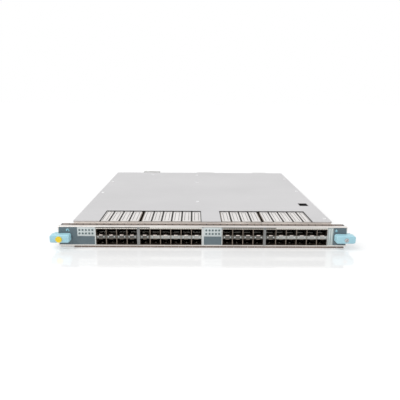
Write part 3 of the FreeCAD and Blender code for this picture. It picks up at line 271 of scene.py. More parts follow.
# Bare film with no ink on it: the lightest of the plastics.
strip_white = grained("bare_white_strip", ("#dfe6e3", "#eef3f0"), (0.9, 0.9, 0.9), (6, 6, 6),
                      (0.42, 0.54), 0.006, IOR=1.55)
print("with films:", len(bpy.data.materials))

# %% [markdown]
# The levers are moulded nylon with a satin skin, and the backplane plugs are moulded in a pale grey resin.
# Sockets and chip bodies are black resin, which is never quite black where light catches it, and the same
# black is painted shade in the lids' holes and under the windows' edges. A mould's texture is as fine as
# the film's and is drawn as coarse. Tape and board are here for want of a better place: black foam with no
# shine, a painted shade in seams and gaps, and lacquer with more than the mouldings have.

# %% Moulded plastics, tape and board
# A clean light blue with a satin skin, whose soft highlights follow the rounded edges.
lever_nylon = grained("moulded_blue_nylon", ("#a4d3e2", "#b4e2ed"), (0.8, 0.8, 0.8), (16, 12, 9),
                      (0.34, 0.46), 0.010, IOR=1.53)
# A strong yellow, glossier than the nylon, made to be seen first.
cap_plastic = grained("moulded_yellow_plastic", ("#f6d41c", "#ffe23a"), (0.8, 0.8, 0.8), (6, 6, 6),
                      (0.30, 0.40), 0.006, IOR=1.5)
# Near black, with enough gloss to draw the edges of sockets; the same black is painted shade on the floors
# of the lids' holes and on the strips under the cover's windows.
black_resin_and_shade = grained("black_moulded_resin", ("#0e0e0f", "#1c1c1d"), (0.9, 0.9, 0.9), (14, 14, 14),
                      (0.42, 0.55), 0.010, IOR=1.6)
# Flatter and faintly blue, as chip bodies look beside connectors.
chip_resin = grained("moulded_chip_resin", ("#151517", "#222326"), (0.7, 0.7, 0.7), (12, 12, 12),
                     (0.50, 0.62), 0.012, IOR=1.55)
# Pale and even, so the plugs show as light blocks behind the cover.
grey_resin = grained("grey_moulded_resin", ("#cfcfcd", "#dededc"), (0.9, 0.9, 0.9), (14, 14, 14),
                     (0.42, 0.55), 0.010, IOR=1.55)
# Open-celled and rough, so it gives no highlight at all: a black painted shade that makes seams and gaps
# look deep.
black_tape_painted_shade = grained("black_foam_tape", ("#171412", "#2a2522"), (0.7, 0.7, 0.7), (6, 6, 6),
                     (0.70, 0.85), 0.030, IOR=1.45)
# Lacquer over copper: a dark green with a fairly sharp shine.
board_green = grained("green_solder_mask", ("#0f3a24", "#1b5235"), (1.4, 1.4, 1.4), (22, 22, 22),
                      (0.28, 0.40), 0.020, IOR=1.55)
print("with mouldings:", len(bpy.data.materials))

# %% [markdown]
# Light pipes and lenses are acrylic. Real ones are clear, but at this size the eye sees only a tint and a
# sharp highlight, so they are opaque here, with acrylic's IOR, and no ray has to be traced through them.

# %% Acrylics
# A greyish tint with a sharp highlight, for pipes seen from the side.
clear_acrylic = grained("clear_moulded_acrylic", ("#5c6a6d", "#7a888a"), (1.0, 1.0, 1.0), (4, 4, 4),
                        (0.16, 0.26), 0.004, IOR=1.49)
# Milky and soft: the cut ends of the pipes are pale specks.
frosted_acrylic = grained("frosted_light_pipe", ("#c9cfce", "#e6eae9"), (0.8, 0.8, 0.8), (3, 3, 3),
                          (0.30, 0.42), 0.004, IOR=1.49)
# Dark glass-like domes with one small highlight each, unlit.
smoked_acrylic = grained("smoked_indicator_lens", ("#566568", "#6d7c7f"), (0.9, 0.9, 0.9), (3, 3, 3),
                         (0.14, 0.24), 0.003, IOR=1.49)
print("all finishes:", len(bpy.data.materials))

# %% [markdown]
# Each solid of the frame now gets its finish. That could be done part by part, but a table from finish to
# parts is quicker to read and to change. A part that a finer piece stands for below is hidden then, so
# its finish matters only to the pieces that stay.

# %% Finishes on the frame's parts
FINISHES = {
    plated_steel: ["front_panel", "lever_brackets"],
    tray_steel_painted_shade: ["tray"],
    cover_zinc: ["cover"],
    slate_film: ["face_film"],
    pale_film: ["id_plate", "led_plates"],
    clear_acrylic: ["light_guides", "port_light_pipes"],
    spring_copper: ["top_gasket"],
    screw_steel: ["cover_screws", "cover_posts_and_nuts", "board_standoffs", "board_screws",
                  "pivot_pins", "captive_screw_left", "captive_screw_right", "screw_clip_left",
                  "screw_clip_right", "lock_nuts"],
    board_green: ["main_board", "control_module"],
    black_resin_and_shade: ["service_header"],
    grey_resin: ["signal_plug_left", "signal_plug_middle", "power_plug", "guide_socket"],
    chip_resin: ["switch_chips", "fabric_chip", "line_chips", "memory_chips", "power_bricks"],
    sink_aluminium: ["switch_heat_sinks", "fabric_heat_sink", "capacitors"],
    lever_nylon: ["lever_left", "lever_right"],
    cap_plastic: ["screw_cap_left"],
}
# Cage shells take the cage nickel, painted darker as painted shade of the ports; the sockets are black
# resin.
for name in nodes:
    if "_cage_" in name:
        finish = black_resin_and_shade if name.endswith("_sockets") else cage_nickel_painted_shade
        FINISHES.setdefault(finish, []).append(name)

for material, names in FINISHES.items():
    for name in names:
        nodes[name].data.materials.clear()
        nodes[name].data.materials.append(material)
bare = [name for name, piece in nodes.items() if not piece.data.materials]
print("parts without a finish:", bare)

# %% [markdown]
# The fine pieces are modelled as by hand: a primitive is laid down at its size, shaped in edit mode, and
# finished with a modifier or two. Everything else is deselected first, because an operator acts on all
# that is selected. A piece's object stays at the origin and its place is in its mesh, so patterns in
# millimetres fall on it as they do on the frame's parts.

# %% Helpers for laying a piece down
def begin(name, kind="cube", **options):
    """Add a primitive round the origin, alone selected, and open it in edit mode."""
    bpy.ops.object.select_all(action="DESELECT")
    getattr(bpy.ops.mesh, f"primitive_{kind}_add")(**options)
    piece = bpy.context.object
    piece.name = name
    bpy.ops.object.mode_set(mode="EDIT")
    bpy.ops.mesh.select_all(action="SELECT")
    return piece


def fit(low, high):
    """Stretch the open unit cube or plane between two corners, in millimetres."""
    start, end = place(*low), place(*high)
    bpy.ops.transform.resize(value=end - start)
    bpy.ops.transform.translate(value=(start + end) / 2)


def stand():
    """Turn the open primitive about the origin, so that its flat side faces the front."""
    bpy.ops.transform.rotate(value=math.pi / 2, orient_axis="X", center_override=(0, 0, 0))


print("a piece can be begun, fitted and stood up")

# %% [markdown]
# In a window, faces and edges are picked by clicking. In code they are picked by their place or by the way
# they look. The picking is one function, and each piece below says in a line what it wants.

# %% Helpers for shaping a piece
FRONT, REAR = Vector((0, -1, 0)), Vector((0, 1, 0))
TOP, BOTTOM = Vector((0, 0, 1)), Vector((0, 0, -1))
OUTER, INNER = Vector((1, 0, 0)), Vector((-1, 0, 0))


def score(normal, *spots):
    """Divide the whole open mesh along planes with that normal, one through each spot."""
    for spot in spots:
        bpy.ops.mesh.select_all(action="SELECT")
        bpy.ops.mesh.bisect(plane_co=place(*spot), plane_no=normal)


def pick(piece, kind, wanted):
    """Select the open mesh's faces, edges or vertices for which wanted(middle in mm, item) is true."""
    bpy.ops.mesh.select_mode(type=kind)
    bpy.ops.mesh.select_all(action="DESELECT")
    mesh = bmesh.from_edit_mesh(piece.data)
    items = {"FACE": mesh.faces, "EDGE": mesh.edges, "VERT": mesh.verts}[kind]
    for item in items:
        corners = [item.co] if kind == "VERT" else [corner.co for corner in item.verts]
        middle = sum(corners, Vector()) / len(corners)
        middle = Vector((middle.x, middle.y - FACE, middle.z)) / MM
        if wanted(middle, item):
            item.select_set(True)
    bmesh.update_edit_mesh(piece.data)


def looks(face, way, least=0.9):
    """True for a face that looks the given way; least is the cosine that it has to reach."""
    return face.normal.dot(way) > least


def extrude(across=0, back=0, up=0):
    bpy.ops.mesh.extrude_region_move(TRANSFORM_OT_translate={"value": Vector((across, back, up)) * MM})


def along(edge, axis):
    """True for an edge parallel to the axis numbered 0, 1 or 2."""
    way = (edge.verts[1].co - edge.verts[0].co).normalized()
    return abs(way[axis]) > 0.99


def inset(width, **options):
    bpy.ops.mesh.inset(thickness=width * MM, depth=0, **options)


def bevel(width, segments=2):
    bpy.ops.mesh.bevel(offset=width * MM, segments=segments)


print("faces and edges can be picked and shaped")

# %% [markdown]
# A shaped piece is closed, repeated or mirrored, and then settled: it gets its finish and the body that it
# moves with. Linked copies would be lighter, but the export wants each piece's shape in its own mesh.

# %% Helpers for finishing a piece
def close(piece, angle=35):
    """Leave edit mode and shade the piece smooth where its faces meet gently."""
    bpy.ops.object.mode_set(mode="OBJECT")
    bpy.ops.object.shade_smooth_by_angle(angle=math.radians(angle))
    return piece


def apply(piece, kind, **settings):
    """Put a modifier on the piece and apply it."""
    bpy.ops.object.select_all(action="DESELECT")
    bpy.context.view_layer.objects.active = piece
    piece.select_set(True)
    modifier = piece.modifiers.new(kind.lower(), kind)
    for name, value in settings.items():
        setattr(modifier, name, value)
    bpy.ops.object.modifier_apply(modifier=modifier.name)


def repeat(piece, count, across=0, back=0, up=0):
    if count > 1:
        apply(piece, "ARRAY", count=count, use_relative_offset=False, use_constant_offset=True,
              constant_offset_displace=Vector((across, back, up)) * MM)


def copied(piece, name, across=0, back=0, up=0):
    """A copy with its own mesh, moved inside its mesh."""
    twin = piece.copy()
    twin.data = piece.data.copy()
    twin.name = name
    twin.data.transform(Matrix.Translation(Vector((across, back, up)) * MM))
    bpy.context.scene.collection.objects.link(twin)
    return twin


def mirrored(piece, name):
    """A copy on the other side of the card's middle, turned the right way out again."""
    twin = copied(piece, name)
    twin.data.transform(Matrix.Scale(-1, 4, Vector((1, 0, 0))))
    twin.data.flip_normals()
    return twin


def settle(piece, finish, body="card"):
    """Give a finished piece its material, unless finish is None and the body it moves with."""
    if finish:
        piece.data.materials.clear()
        piece.data.materials.append(finish)
    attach(piece, body)
    return piece


print("pieces can be closed, copied and settled")

# %% [markdown]
# Most of the fine pieces repeat over the columns of ports. A column is one pitch wide, and the four cages
# have four, six, four and six of them. A run is a cage, its first column and how many columns follow. One
# piece is modelled round X = 0, copied to the start of each run and repeated with an Array modifier.

# %% Columns of ports
PITCH = 14.25
CAGES = {label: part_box(label + "_shell")[0].x / MM
         for label in ("quad_cage_left", "hex_cage_left", "quad_cage_right", "hex_cage_right")}
DARK_RUNS = [("quad_cage_left", 0, 4), ("hex_cage_left", 0, 1),
             ("quad_cage_right", 0, 4), ("hex_cage_right", 0, 1)]
LIGHT_RUNS = [("hex_cage_left", 1, 5), ("hex_cage_right", 1, 5)]
ALL_RUNS = DARK_RUNS + LIGHT_RUNS


def spread(piece, runs, finish):
    """Repeat a piece modelled round X = 0 over runs of neighbouring columns, then drop the model."""
    for cage, first, count in runs:
        middle = CAGES[cage] + (first + 0.5) * PITCH
        row = copied(piece, f"{piece.name}_{cage}_{first + 1}", across=middle)
        repeat(row, count, across=PITCH)
        settle(row, finish)
    bpy.data.objects.remove(piece)


print("cages start at", [round(edge, 2) for edge in CAGES.values()])

# %% [markdown]
# Between the upper and lower ports runs a bar. On the real card its face is a stamped strip, printed dark
# over the first five columns of each ten and pale over the last five, with two small windows for the
# light pipes. The windows could be cut with a Boolean, but scoring the face and pushing two of its fields
# in keeps the mesh small and clean. Each pipe's end then sits in a shallow bed.

# %% Bar faces between the ports
BAR_MIDDLE = 15.55
WINDOW_SIDES = (2.75, 5.4)
WINDOW_HEIGHTS = (14.3, 16.8)


def bar_face(name):
    near, far = WINDOW_SIDES
    low, high = WINDOW_HEIGHTS
    piece = begin(name, size=1)
    fit((-6.65, -0.5, 13.2), (6.65, -0.2, 17.9))
    score((1, 0, 0), *[(across, 0, 0) for across in (-far, -near, near, far)])
    score((0, 0, 1), (0, 0, low), (0, 0, high))
    pick(piece, "FACE", lambda middle, face: looks(face, FRONT) and low < middle.z < high
         and near < abs(middle.x) < far)
    inset(0.12, use_individual=True)
    extrude(back=0.2)
    pick(piece, "EDGE", lambda middle, edge: along(edge, 0) and abs(middle.z - BAR_MIDDLE) > 2.3)
    bevel(0.12)
    return close(piece)


spread(bar_face("bar_face_dark"), DARK_RUNS, bar_dark)
spread(bar_face("bar_face_pale"), LIGHT_RUNS, bar_pale)

# %% [markdown]
# A pair of light pipes ends in each bar, one for the port above and one for the port below. Their ends
# are three-sided, one pointing up and one down, and frosted, so they read as pale specks on the bar. A
# cylinder with three sides has that shape from the start, so only its front edges need work.

# %% Ends of the light pipes
PIPE_SIDE = 4.07


def pipe_end(name, across, turn):
    piece = begin(name, "cylinder", vertices=3, radius=1.28 * MM, depth=0.34 * MM)
    stand()
    bpy.ops.transform.rotate(value=turn, orient_axis="Y", center_override=(0, 0, 0))
    bpy.ops.transform.translate(value=place(across, -0.42, BAR_MIDDLE))
    pick(piece, "EDGE", lambda middle, edge: middle.y < -0.55)
    bevel(0.12)
    return close(piece)


for name, across, turn in (("pipe_end_upper", -PIPE_SIDE, 0), ("pipe_end_lower", PIPE_SIDE, math.pi)):
    spread(pipe_end(name, across, turn), ALL_RUNS, frosted_acrylic)

# %% [markdown]
# A module is held by a spring tongue that its latch snaps into. Under each upper port the tongue's tip is
# bent down over the bar, and its sloping face catches the light from above; its bright, faintly pink nickel
# is a painted highlight. A curve swept along the bend would be rounder, but a press makes two flat bends,
# and two extrusions give exactly those. The tongue over the lower port is the same part turned over, lies
# in shadow, and is given the darker cage nickel as painted shade.

# %% Latch tongues
SLOT_HALF = 0.9
SLOT_BACK = (1.0, 2.2)


def latch_tongue(name):
    front, rear = SLOT_BACK
    piece = begin(name, size=1)
    fit((-2.5, -0.35, 18.3), (2.5, 3.0, 18.6))
    pick(piece, "FACE", lambda middle, face: looks(face, FRONT))
    extrude(back=-0.3, up=-0.2)
    extrude(back=-0.15, up=-0.35)
    bpy.ops.transform.resize(value=(0.78, 1, 1))
    score((1, 0, 0), (-SLOT_HALF, 0, 0), (SLOT_HALF, 0, 0))
    score((0, 1, 0), (0, front, 0), (0, rear, 0))
    pick(piece, "FACE", lambda middle, face: looks(face, TOP) and abs(middle.x) < SLOT_HALF
         and front < middle.y < rear)
    inset(0.1)
    extrude(up=-0.2)
    close(piece)
    apply(piece, "BEVEL", width=0.07 * MM, segments=1, limit_method="ANGLE")
    return piece


tongue = latch_tongue("latch_tongue_upper")
under = copied(tongue, "latch_tongue_lower")
turned_over = Matrix.Translation((0, 0, 2 * BAR_MIDDLE * MM)) @ Matrix.Scale(-1, 4, TOP)
under.data.transform(turned_over)
under.data.flip_normals()
spread(tongue, ALL_RUNS, tongue_nickel_painted_highlight)
spread(under, ALL_RUNS, cage_nickel_painted_shade)

# %% [markdown]
# Over the upper ports the cage has a printed band, and below the band a row of spring fingers that ground
# the modules and close the gap to stray signals. A striped texture could stand for the fingers, but each
# one bends and catches light by itself. So one finger is modelled, repeated six times over a column, and
# the set is repeated over the columns.

# %% Band and spring fingers over the ports
FINGERS = 6
FINGER_PITCH = PITCH / FINGERS


def top_band(name):
    piece = begin(name, size=1)
    fit((-7.12, -0.48, 28.1), (7.12, -0.2, 29.5))
    pick(piece, "EDGE", lambda middle, edge: along(edge, 0) and middle.y < -0.4)
    bevel(0.12)
    return close(piece)


def spring_fingers(name):
    piece = begin(name, size=1)
    left = -(FINGERS - 1) / 2 * FINGER_PITCH
    fit((left - 0.75, -0.4, 27.8), (left + 0.75, -0.2, 28.1))
    pick(piece, "FACE", lambda middle, face: looks(face, BOTTOM))
    extrude(back=-0.3, up=-0.3)
    extrude(back=-0.05, up=-0.25)
    bpy.ops.transform.resize(value=(0.8, 1, 1))
    extrude(back=0.35, up=-0.3)
    close(piece)
    repeat(piece, FINGERS, across=FINGER_PITCH)
    return piece


spread(top_band("top_band_dark"), DARK_RUNS, bar_dark)
spread(top_band("top_band_pale"), LIGHT_RUNS, band_nickel)
spread(spring_fingers("spring_fingers"), ALL_RUNS, finger_nickel_painted_light)
print("fingers to a column:", FINGERS, "at", FINGER_PITCH, "mm")

# %% [markdown]
# A rib across the floor of each upper port catches a line of light, and a small latch tab on the floor of
# each lower port a speck: both take the lighter finger nickel among the darker port walls, as painted
# highlights. Both are pressed out of the sheet and low, so a bar with its edges rounded and a block with a
# drawn-in end are enough.

# %% Ribs and latch tabs on the port floors
def floor_rib(name):
    piece = begin(name, size=1)
    fit((-4.8, 14.0, 18.05), (4.8, 18.0, 18.35))
    pick(piece, "EDGE", lambda middle, edge: along(edge, 0) and middle.z > 18.3)
    bevel(0.14, 2)
    return close(piece)


def latch_tab(name):
    piece = begin(name, size=1)
    fit((-0.8, 9.0, 4.45), (0.8, 11.0, 4.8))
    pick(piece, "FACE", lambda middle, face: looks(face, REAR))
    bpy.ops.transform.resize(value=(0.5, 1, 1))
    bpy.ops.transform.translate(value=(0, 0, 0.5 * MM))
    return close(piece)


spread(floor_rib("floor_rib"), ALL_RUNS, finger_nickel_painted_light)
spread(latch_tab("latch_tab"), ALL_RUNS, finger_nickel_painted_light)
print("ribs and tabs in", sum(count for cage, first, count in ALL_RUNS), "columns")

# %% [markdown]
# Inside each port, a leaf punched out of either wall presses on the module's side. The leaves only show
# as faint lines in the dark openings, but without them the walls look bare from close by. The punched
# hole behind a leaf can't be seen, so the leaf is laid on the wall and bent out and back in three steps.

# %% Leaves on the port walls
LEAF_HEIGHTS = {"lower": 8.6, "upper": 22.4}


def wall_leaf(name, up):
    piece = begin(name, size=1)
    fit((-6.72, 1.5, up - 1.3), (-6.6, 3.0, up + 1.3))
    pick(piece, "FACE", lambda middle, face: looks(face, REAR))
    extrude(across=0.5, back=2.5)
    extrude(across=0.1, back=1.5)
    extrude(across=-0.45, back=2.5)
    return close(piece)


for label, up in LEAF_HEIGHTS.items():
    leaf = wall_leaf(f"wall_leaf_left_{label}", up)
    other = mirrored(leaf, f"wall_leaf_right_{label}")
    # The leaves take the cage nickel, painted darker as painted shade of the ports.
    spread(leaf, ALL_RUNS, cage_nickel_painted_shade)
    spread(other, ALL_RUNS, cage_nickel_painted_shade)

# %% [markdown]
# From above, each column of the cages shows as a bright lid with two darker lengthwise grooves that stiffen
# it, two dimples by its front edge and two small dark holes near its rear. A bump texture would look flat
# from low down, so the lid is scored into fields, and the grooves and holes are pushed down and the dimples
# up. The lid's bright nickel is painted light, the floors of the holes are black as painted shade, and the
# grooves get a darker nickel than the lid as painted shade.

# %% Lids of the cage columns
LID_TOP = 31.42
GROOVE_SIDES, GROOVE_BACK = (2.3, 3.3), (27.4, 70.2)
DIMPLE_SIDES, DIMPLE_BACK = (3.3, 4.4), (25.2, 27.4)
HOLE_SIDES, HOLE_BACK = (1.0, 2.3), (70.2, 71.6)


def within(across, back, sides, ends):
    """True for a place whose distance from the column's middle and whose depth are in these ranges."""
    return sides[0] < abs(across) < sides[1] and ends[0] < back < ends[1]


def column_lid(name):
    piece = begin(name, size=1)
    fit((-5.9, 23.2, 31.2), (5.9, 85.0, LID_TOP))
    score((1, 0, 0), *[(across, 0, 0) for across in (-4.4, -3.3, -2.3, -1.0, 1.0, 2.3, 3.3, 4.4)])
    score((0, 1, 0), *[(0, back, 0) for back in (25.2, 27.4, 30.0, 67.0, 70.2, 71.6)])
    pick(piece, "FACE", lambda middle, face: looks(face, TOP)
         and within(middle.x, middle.y, GROOVE_SIDES, GROOVE_BACK))
    extrude(up=-0.14)
    bpy.ops.transform.resize(value=(1.0, 0.985, 1.0))
    pick(piece, "FACE", lambda middle, face: looks(face, TOP)
         and within(middle.x, middle.y, DIMPLE_SIDES, DIMPLE_BACK))
    extrude(up=0.2)
    pick(piece, "FACE", lambda middle, face: looks(face, TOP)
         and within(middle.x, middle.y, HOLE_SIDES, HOLE_BACK))
    extrude(up=-0.16)
    close(piece, angle=20)
    for finish in (lid_nickel_painted_light, black_resin_and_shade, groove_nickel_painted_shade):
        piece.data.materials.append(finish)
    # A groove's walls lie on its edge, so it is looked for a little wider, and below the lid's top.
    wide_sides = (GROOVE_SIDES[0] - 0.1, GROOVE_SIDES[1] + 0.1)
    for face in piece.data.polygons:
        across, back, up = abs(face.center.x) / MM, (face.center.y - FACE) / MM, face.center.z / MM
        # Hole floors take the black as painted shade, groove faces the darker nickel as painted shade.
        if within(across, back, HOLE_SIDES, HOLE_BACK):
            face.material_index = 1
        elif within(across, back, wide_sides, GROOVE_BACK) and up < LID_TOP - 0.02:
            face.material_index = 2
    return piece


spread(column_lid("column_lid"), ALL_RUNS, None)
print("lids over", sum(count for cage, first, count in ALL_RUNS), "columns")

# %% [markdown]
# Between the lids of one cage runs a strip of black foam, a painted shade that shows as a dark line in the
# seam. It lies a little lower than the lids. A cage of four columns has three such seams and a cage of six
# has five, so the runs are shorter by one.

# %% Painted shade in the seams between the lids
SEAM_RUNS = [("quad_cage_left", 0, 3), ("hex_cage_left", 0, 5),
             ("quad_cage_right", 0, 3), ("hex_cage_right", 0, 5)]
SEAM_HALF = 1.15


def seam_shade_strip(name):
    piece = begin(name, size=1)
    fit((PITCH / 2 - SEAM_HALF, 24.0, 31.2), (PITCH / 2 + SEAM_HALF, 83.0, 31.38))
    pick(piece, "EDGE", lambda middle, edge: along(edge, 2))
    bevel(0.3, 2)
    return close(piece)


spread(seam_shade_strip("seam_shade_strip"), SEAM_RUNS, black_tape_painted_shade)
print("seams:", sum(count for cage, first, count in SEAM_RUNS))

# %% [markdown]
# Under the cut edges of the two windows in the cover lies a thin black strip, a painted shade for the
# cover's edge over the cages. A curve with a profile could follow the edge, but its corners would need
# care. So it is drawn as a plane, the middle is taken out to leave a flat strip round three sides, and that
# is given thickness.

# %% Painted shade along the cover's windows
SHADE_STRIP_WIDTH = 0.95
WINDOW_FRONT, WINDOW_REAR, SHADE_STRIP_HEIGHT = 20.6, 76.0, 31.5
WINDOWS = {"left": (-146.4, -2.2), "right": (25.5, 155.7)}


def window_shade_strip(name, left, right):
    piece = begin(name, "plane", size=1)
    fit((left, WINDOW_FRONT, SHADE_STRIP_HEIGHT), (right, WINDOW_REAR, SHADE_STRIP_HEIGHT))
    score((1, 0, 0), (left + SHADE_STRIP_WIDTH, 0, 0), (right - SHADE_STRIP_WIDTH, 0, 0))
    score((0, 1, 0), (0, WINDOW_REAR - SHADE_STRIP_WIDTH, 0))
    pick(piece, "FACE", lambda middle, face: left + SHADE_STRIP_WIDTH < middle.x < right - SHADE_STRIP_WIDTH
         and middle.y < WINDOW_REAR - SHADE_STRIP_WIDTH)
    bpy.ops.mesh.delete(type="FACE")
    close(piece)
    apply(piece, "SOLIDIFY", thickness=0.9 * MM, offset=1)
    apply(piece, "BEVEL", width=0.2 * MM, segments=2, limit_method="ANGLE")
    return settle(piece, black_resin_and_shade)


for side, (left, right) in WINDOWS.items():
    window_shade_strip(f"window_edging_{side}", left, right)
print("edging on", len(WINDOWS), "windows")

# %% [markdown]
# The gasket is one strip of beryllium copper fingers, each an arch that the next card up presses flat. A
# bent curve could be extruded to the same arch; here one finger is drawn out step by step from a low block,
# and repeated at the usual pitch of such strip, 9.525 mm. A black tape on the panel's shelf lies under it,
# a painted shade that shows dark through the gaps.

# %% Spring gasket
GASKET_PITCH = 9.525
GASKET_FINGERS = 41
FINGER_HALF = 4.3
ARCH = ((0.9, 0.6), (0.9, 0.26), (0.9, 0.06), (1.0, -0.14), (1.0, -0.32), (0.9, -0.4))


def gasket_fingers(name):
    piece = begin(name, size=1)
    left = -(GASKET_FINGERS - 1) / 2 * GASKET_PITCH
    fit((left - FINGER_HALF, 8.3, 30.05), (left + FINGER_HALF, 8.9, 30.25))
    pick(piece, "FACE", lambda middle, face: looks(face, REAR))
    for back, up in ARCH:
        extrude(back=back, up=up)
    pick(piece, "EDGE", lambda middle, edge: not along(edge, 0) and middle.y > 9.0
         and abs(abs(middle.x - left) - FINGER_HALF) < 0.01)
    bevel(0.15, 1)
    close(piece)
    repeat(piece, GASKET_FINGERS, across=GASKET_PITCH)
    return piece


def gasket_shade_tape(name):
    piece = begin(name, size=1)
    fit((-197.6, 8.1, 30.0), (197.6, 14.8, 30.12))
    pick(piece, "EDGE", lambda middle, edge: along(edge, 1) and middle.z > 30.1)
    bevel(0.05, 1)
    return close(piece)


fingers = settle(gasket_fingers("gasket_fingers"), spring_copper)
settle(gasket_shade_tape("gasket_shade_tape"), black_tape_painted_shade)
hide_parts("top_gasket")
print("gasket fingers:", GASKET_FINGERS)

# %% [markdown]
# Under the panel's lower hem runs a second, flatter strip of the same spring metal. It closes the gap to
# the shelf below and shows as a dark band along the card's foot. At the left end the hem itself reaches
# down in its place. One plain strip would do from afar; short lengths with a pressed rib break the band's
# highlight as the real fingers do.

# %% Foot of the panel
FOOT_PITCH = 9.6
FOOT_FINGERS = 39
FOOT_RIB = (0.8, 1.8)


def foot_gasket(name):
    low, high = FOOT_RIB
    piece = begin(name, size=1)
    fit((-178.0, 0.3, 0.15), (-168.8, 0.7, 2.5))
    score((0, 0, 1), (0, 0, low), (0, 0, high))
    pick(piece, "FACE", lambda middle, face: looks(face, FRONT) and low < middle.z < high)
    extrude(back=-0.35)
    bpy.ops.transform.resize(value=(0.97, 1, 1))
    close(piece)
    repeat(piece, FOOT_FINGERS, across=FOOT_PITCH)
    return settle(piece, spring_copper)


def foot_hem(name):
    piece = begin(name, size=1)
    fit((-197.6, -0.05, 0.9), (-178.4, 0.5, 2.6))
    pick(piece, "EDGE", lambda middle, edge: along(edge, 0) and middle.y < 0)
    bevel(0.2)
    return settle(close(piece), plated_steel)


foot_gasket("foot_gasket")
foot_hem("foot_hem")
print("foot fingers:", FOOT_FINGERS)

# %% [markdown]
# A folded frame of bright sheet borders each group of ports, and a strip painted darker, as painted shade
# of the gap, covers the gap between its cage of four columns and its cage of six. A plain box would shine
# as one flat line, so each strip has a pressed border, made by an inset of its face, and its long front
# edges are broken. A table gives each strip's left edge, right edge and finish.

# %% Trim round the port groups
TRIMS = {
    "trim_left_outer": (-149.3, -147.8, trim_nickel),
    "trim_left_inner": (-2.2, 0.9, trim_nickel),
    "trim_right_inner": (25.3, 26.3, trim_nickel),
    "trim_right_outer": (171.8, 172.7, trim_nickel),
    "trim_left_gap": (-91.2, -87.3, gap_nickel_painted_shade),
    "trim_right_gap": (83.1, 86.7, gap_nickel_painted_shade),
}


def trim(name, left, right, finish):
    piece = begin(name, size=1)
    fit((left, -0.55, 3.7), (right, -0.3, 28.9))
    pick(piece, "FACE", lambda middle, face: looks(face, FRONT))
    inset(0.25)
    extrude(back=0.08)
    pick(piece, "EDGE", lambda middle, edge: along(edge, 2) and middle.y < -0.5)
    bevel(0.06, 1)
    return settle(close(piece), finish)


for name, (left, right, finish) in TRIMS.items():
    trim(name, left, right, finish)
print("trims:", len(TRIMS))

# %% [markdown]
# Ten indicators sit in each pale plate, in two rows of five. The plate has rounded corners, and each lens
# is a shallow dome of smoked acrylic in a turned-in rim, dark while it is not lit. A flattened sphere has
# a pole in the middle of the highlight, so the dome is raised ring by ring from the end of a cylinder.

# %% Indicator plates and lenses
LED_MIDDLES = {"left": -161.0, "right": 13.0}
LED_HEIGHT = 22.9
LED_COLUMNS, LED_PITCH = 5, 4.45
LED_ROWS, LED_ROW_PITCH = 2, 5.0
LED_PLATE_HALF = (11.9, 6.3)


def led_plate(name, middle):
    wide, high = LED_PLATE_HALF
    piece = begin(name, size=1)
    fit((middle - wide, -0.5, LED_HEIGHT - high), (middle + wide, -0.05, LED_HEIGHT + high))
    pick(piece, "EDGE", lambda spot, edge: along(edge, 1))
    bevel(0.9, 4)
    pick(piece, "FACE", lambda spot, face: looks(face, FRONT))
    inset(0.12)
    bpy.ops.transform.translate(value=(0, -0.06 * MM, 0))
    return close(piece)


def led_lens(name):
    piece = begin(name, "cylinder", vertices=24, radius=1.42 * MM, depth=0.3 * MM)
    stand()
    bpy.ops.transform.translate(value=place(0, -0.55, LED_HEIGHT))
    pick(piece, "FACE", lambda middle, face: looks(face, FRONT))
    inset(0.18)
    extrude(back=0.1)
    for ring, rise in ((0.3, 0.1), (0.35, 0.06), (0.3, 0.02)):
        inset(ring)
        bpy.ops.transform.translate(value=(0, -rise * MM, 0))
    return close(piece, angle=50)


lens_model = led_lens("led_lens")
for side, middle in LED_MIDDLES.items():
    settle(led_plate(f"led_plate_{side}", middle), plate_white)
    for column in range(LED_COLUMNS):
        for row in range(LED_ROWS):
            lens = copied(lens_model, f"led_lens_{side}_{row + 1}_{column + 1}",
                          across=middle + (column - (LED_COLUMNS - 1) / 2) * LED_PITCH,
                          up=(row - (LED_ROWS - 1) / 2) * LED_ROW_PITCH)
            settle(lens, smoked_acrylic)
bpy.data.objects.remove(lens_model)
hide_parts("led_plates")

# %% [markdown]
# Over each lever is a pale-blue sign, a thin print. The two are kept as plain shapes, a curved arrow on the
# left and a four-pointed star on the right. An image could carry them, but flat meshes with a little
# thickness stay sharp. The arrow's arc is a spin of one short edge, and the star a pinched octagon.

# %% Signs over the levers
SIGN_BACK = (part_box("face_film")[0].y - FACE) / MM - 0.05


def arrow_sign(name, middle, up):
    """A curved arrow: an arc turned out of a short stroke, with a triangle for its head."""
    piece = begin(name, "plane", size=1)
    stand()
    bpy.ops.transform.resize(value=(1.5 * MM, 1, 0.4 * MM))
    bpy.ops.transform.translate(value=place(middle + 1.5, SIGN_BACK, up))
    pick(piece, "EDGE", lambda spot, edge: along(edge, 0) and spot.z > up)
    bpy.ops.mesh.spin(steps=12, angle=math.radians(215), center=place(middle, SIGN_BACK, up),
                      axis=(0, 1, 0))
    bpy.ops.mesh.primitive_circle_add(vertices=3, radius=1.6 * MM, fill_type="NGON",
                                      rotation=(math.pi / 2, 0, 0),
                                      location=place(middle + 1.6, SIGN_BACK, up - 0.6))
    return close(piece)


def star_sign(name, middle, up):
    """A four-pointed star: every second corner of an octagon is drawn towards the middle."""
    piece = begin(name, "circle", vertices=8, radius=2.5 * MM, fill_type="NGON")
    stand()
    bpy.ops.transform.translate(value=place(middle, SIGN_BACK, up))
    pick(piece, "VERT", lambda spot, corner: min(abs(spot.x - middle), abs(spot.z - up)) > 0.5)
    bpy.ops.transform.resize(value=(0.5, 1, 0.5))
    return close(piece)


signs = [arrow_sign("arrow_sign_left", -186.0, 24.9), star_sign("star_sign_right", 184.0, 25.2)]
for sign in signs:
    apply(sign, "SOLIDIFY", thickness=0.06 * MM, offset=0)
    settle(sign, sign_blue)
print("signs:", len(signs))

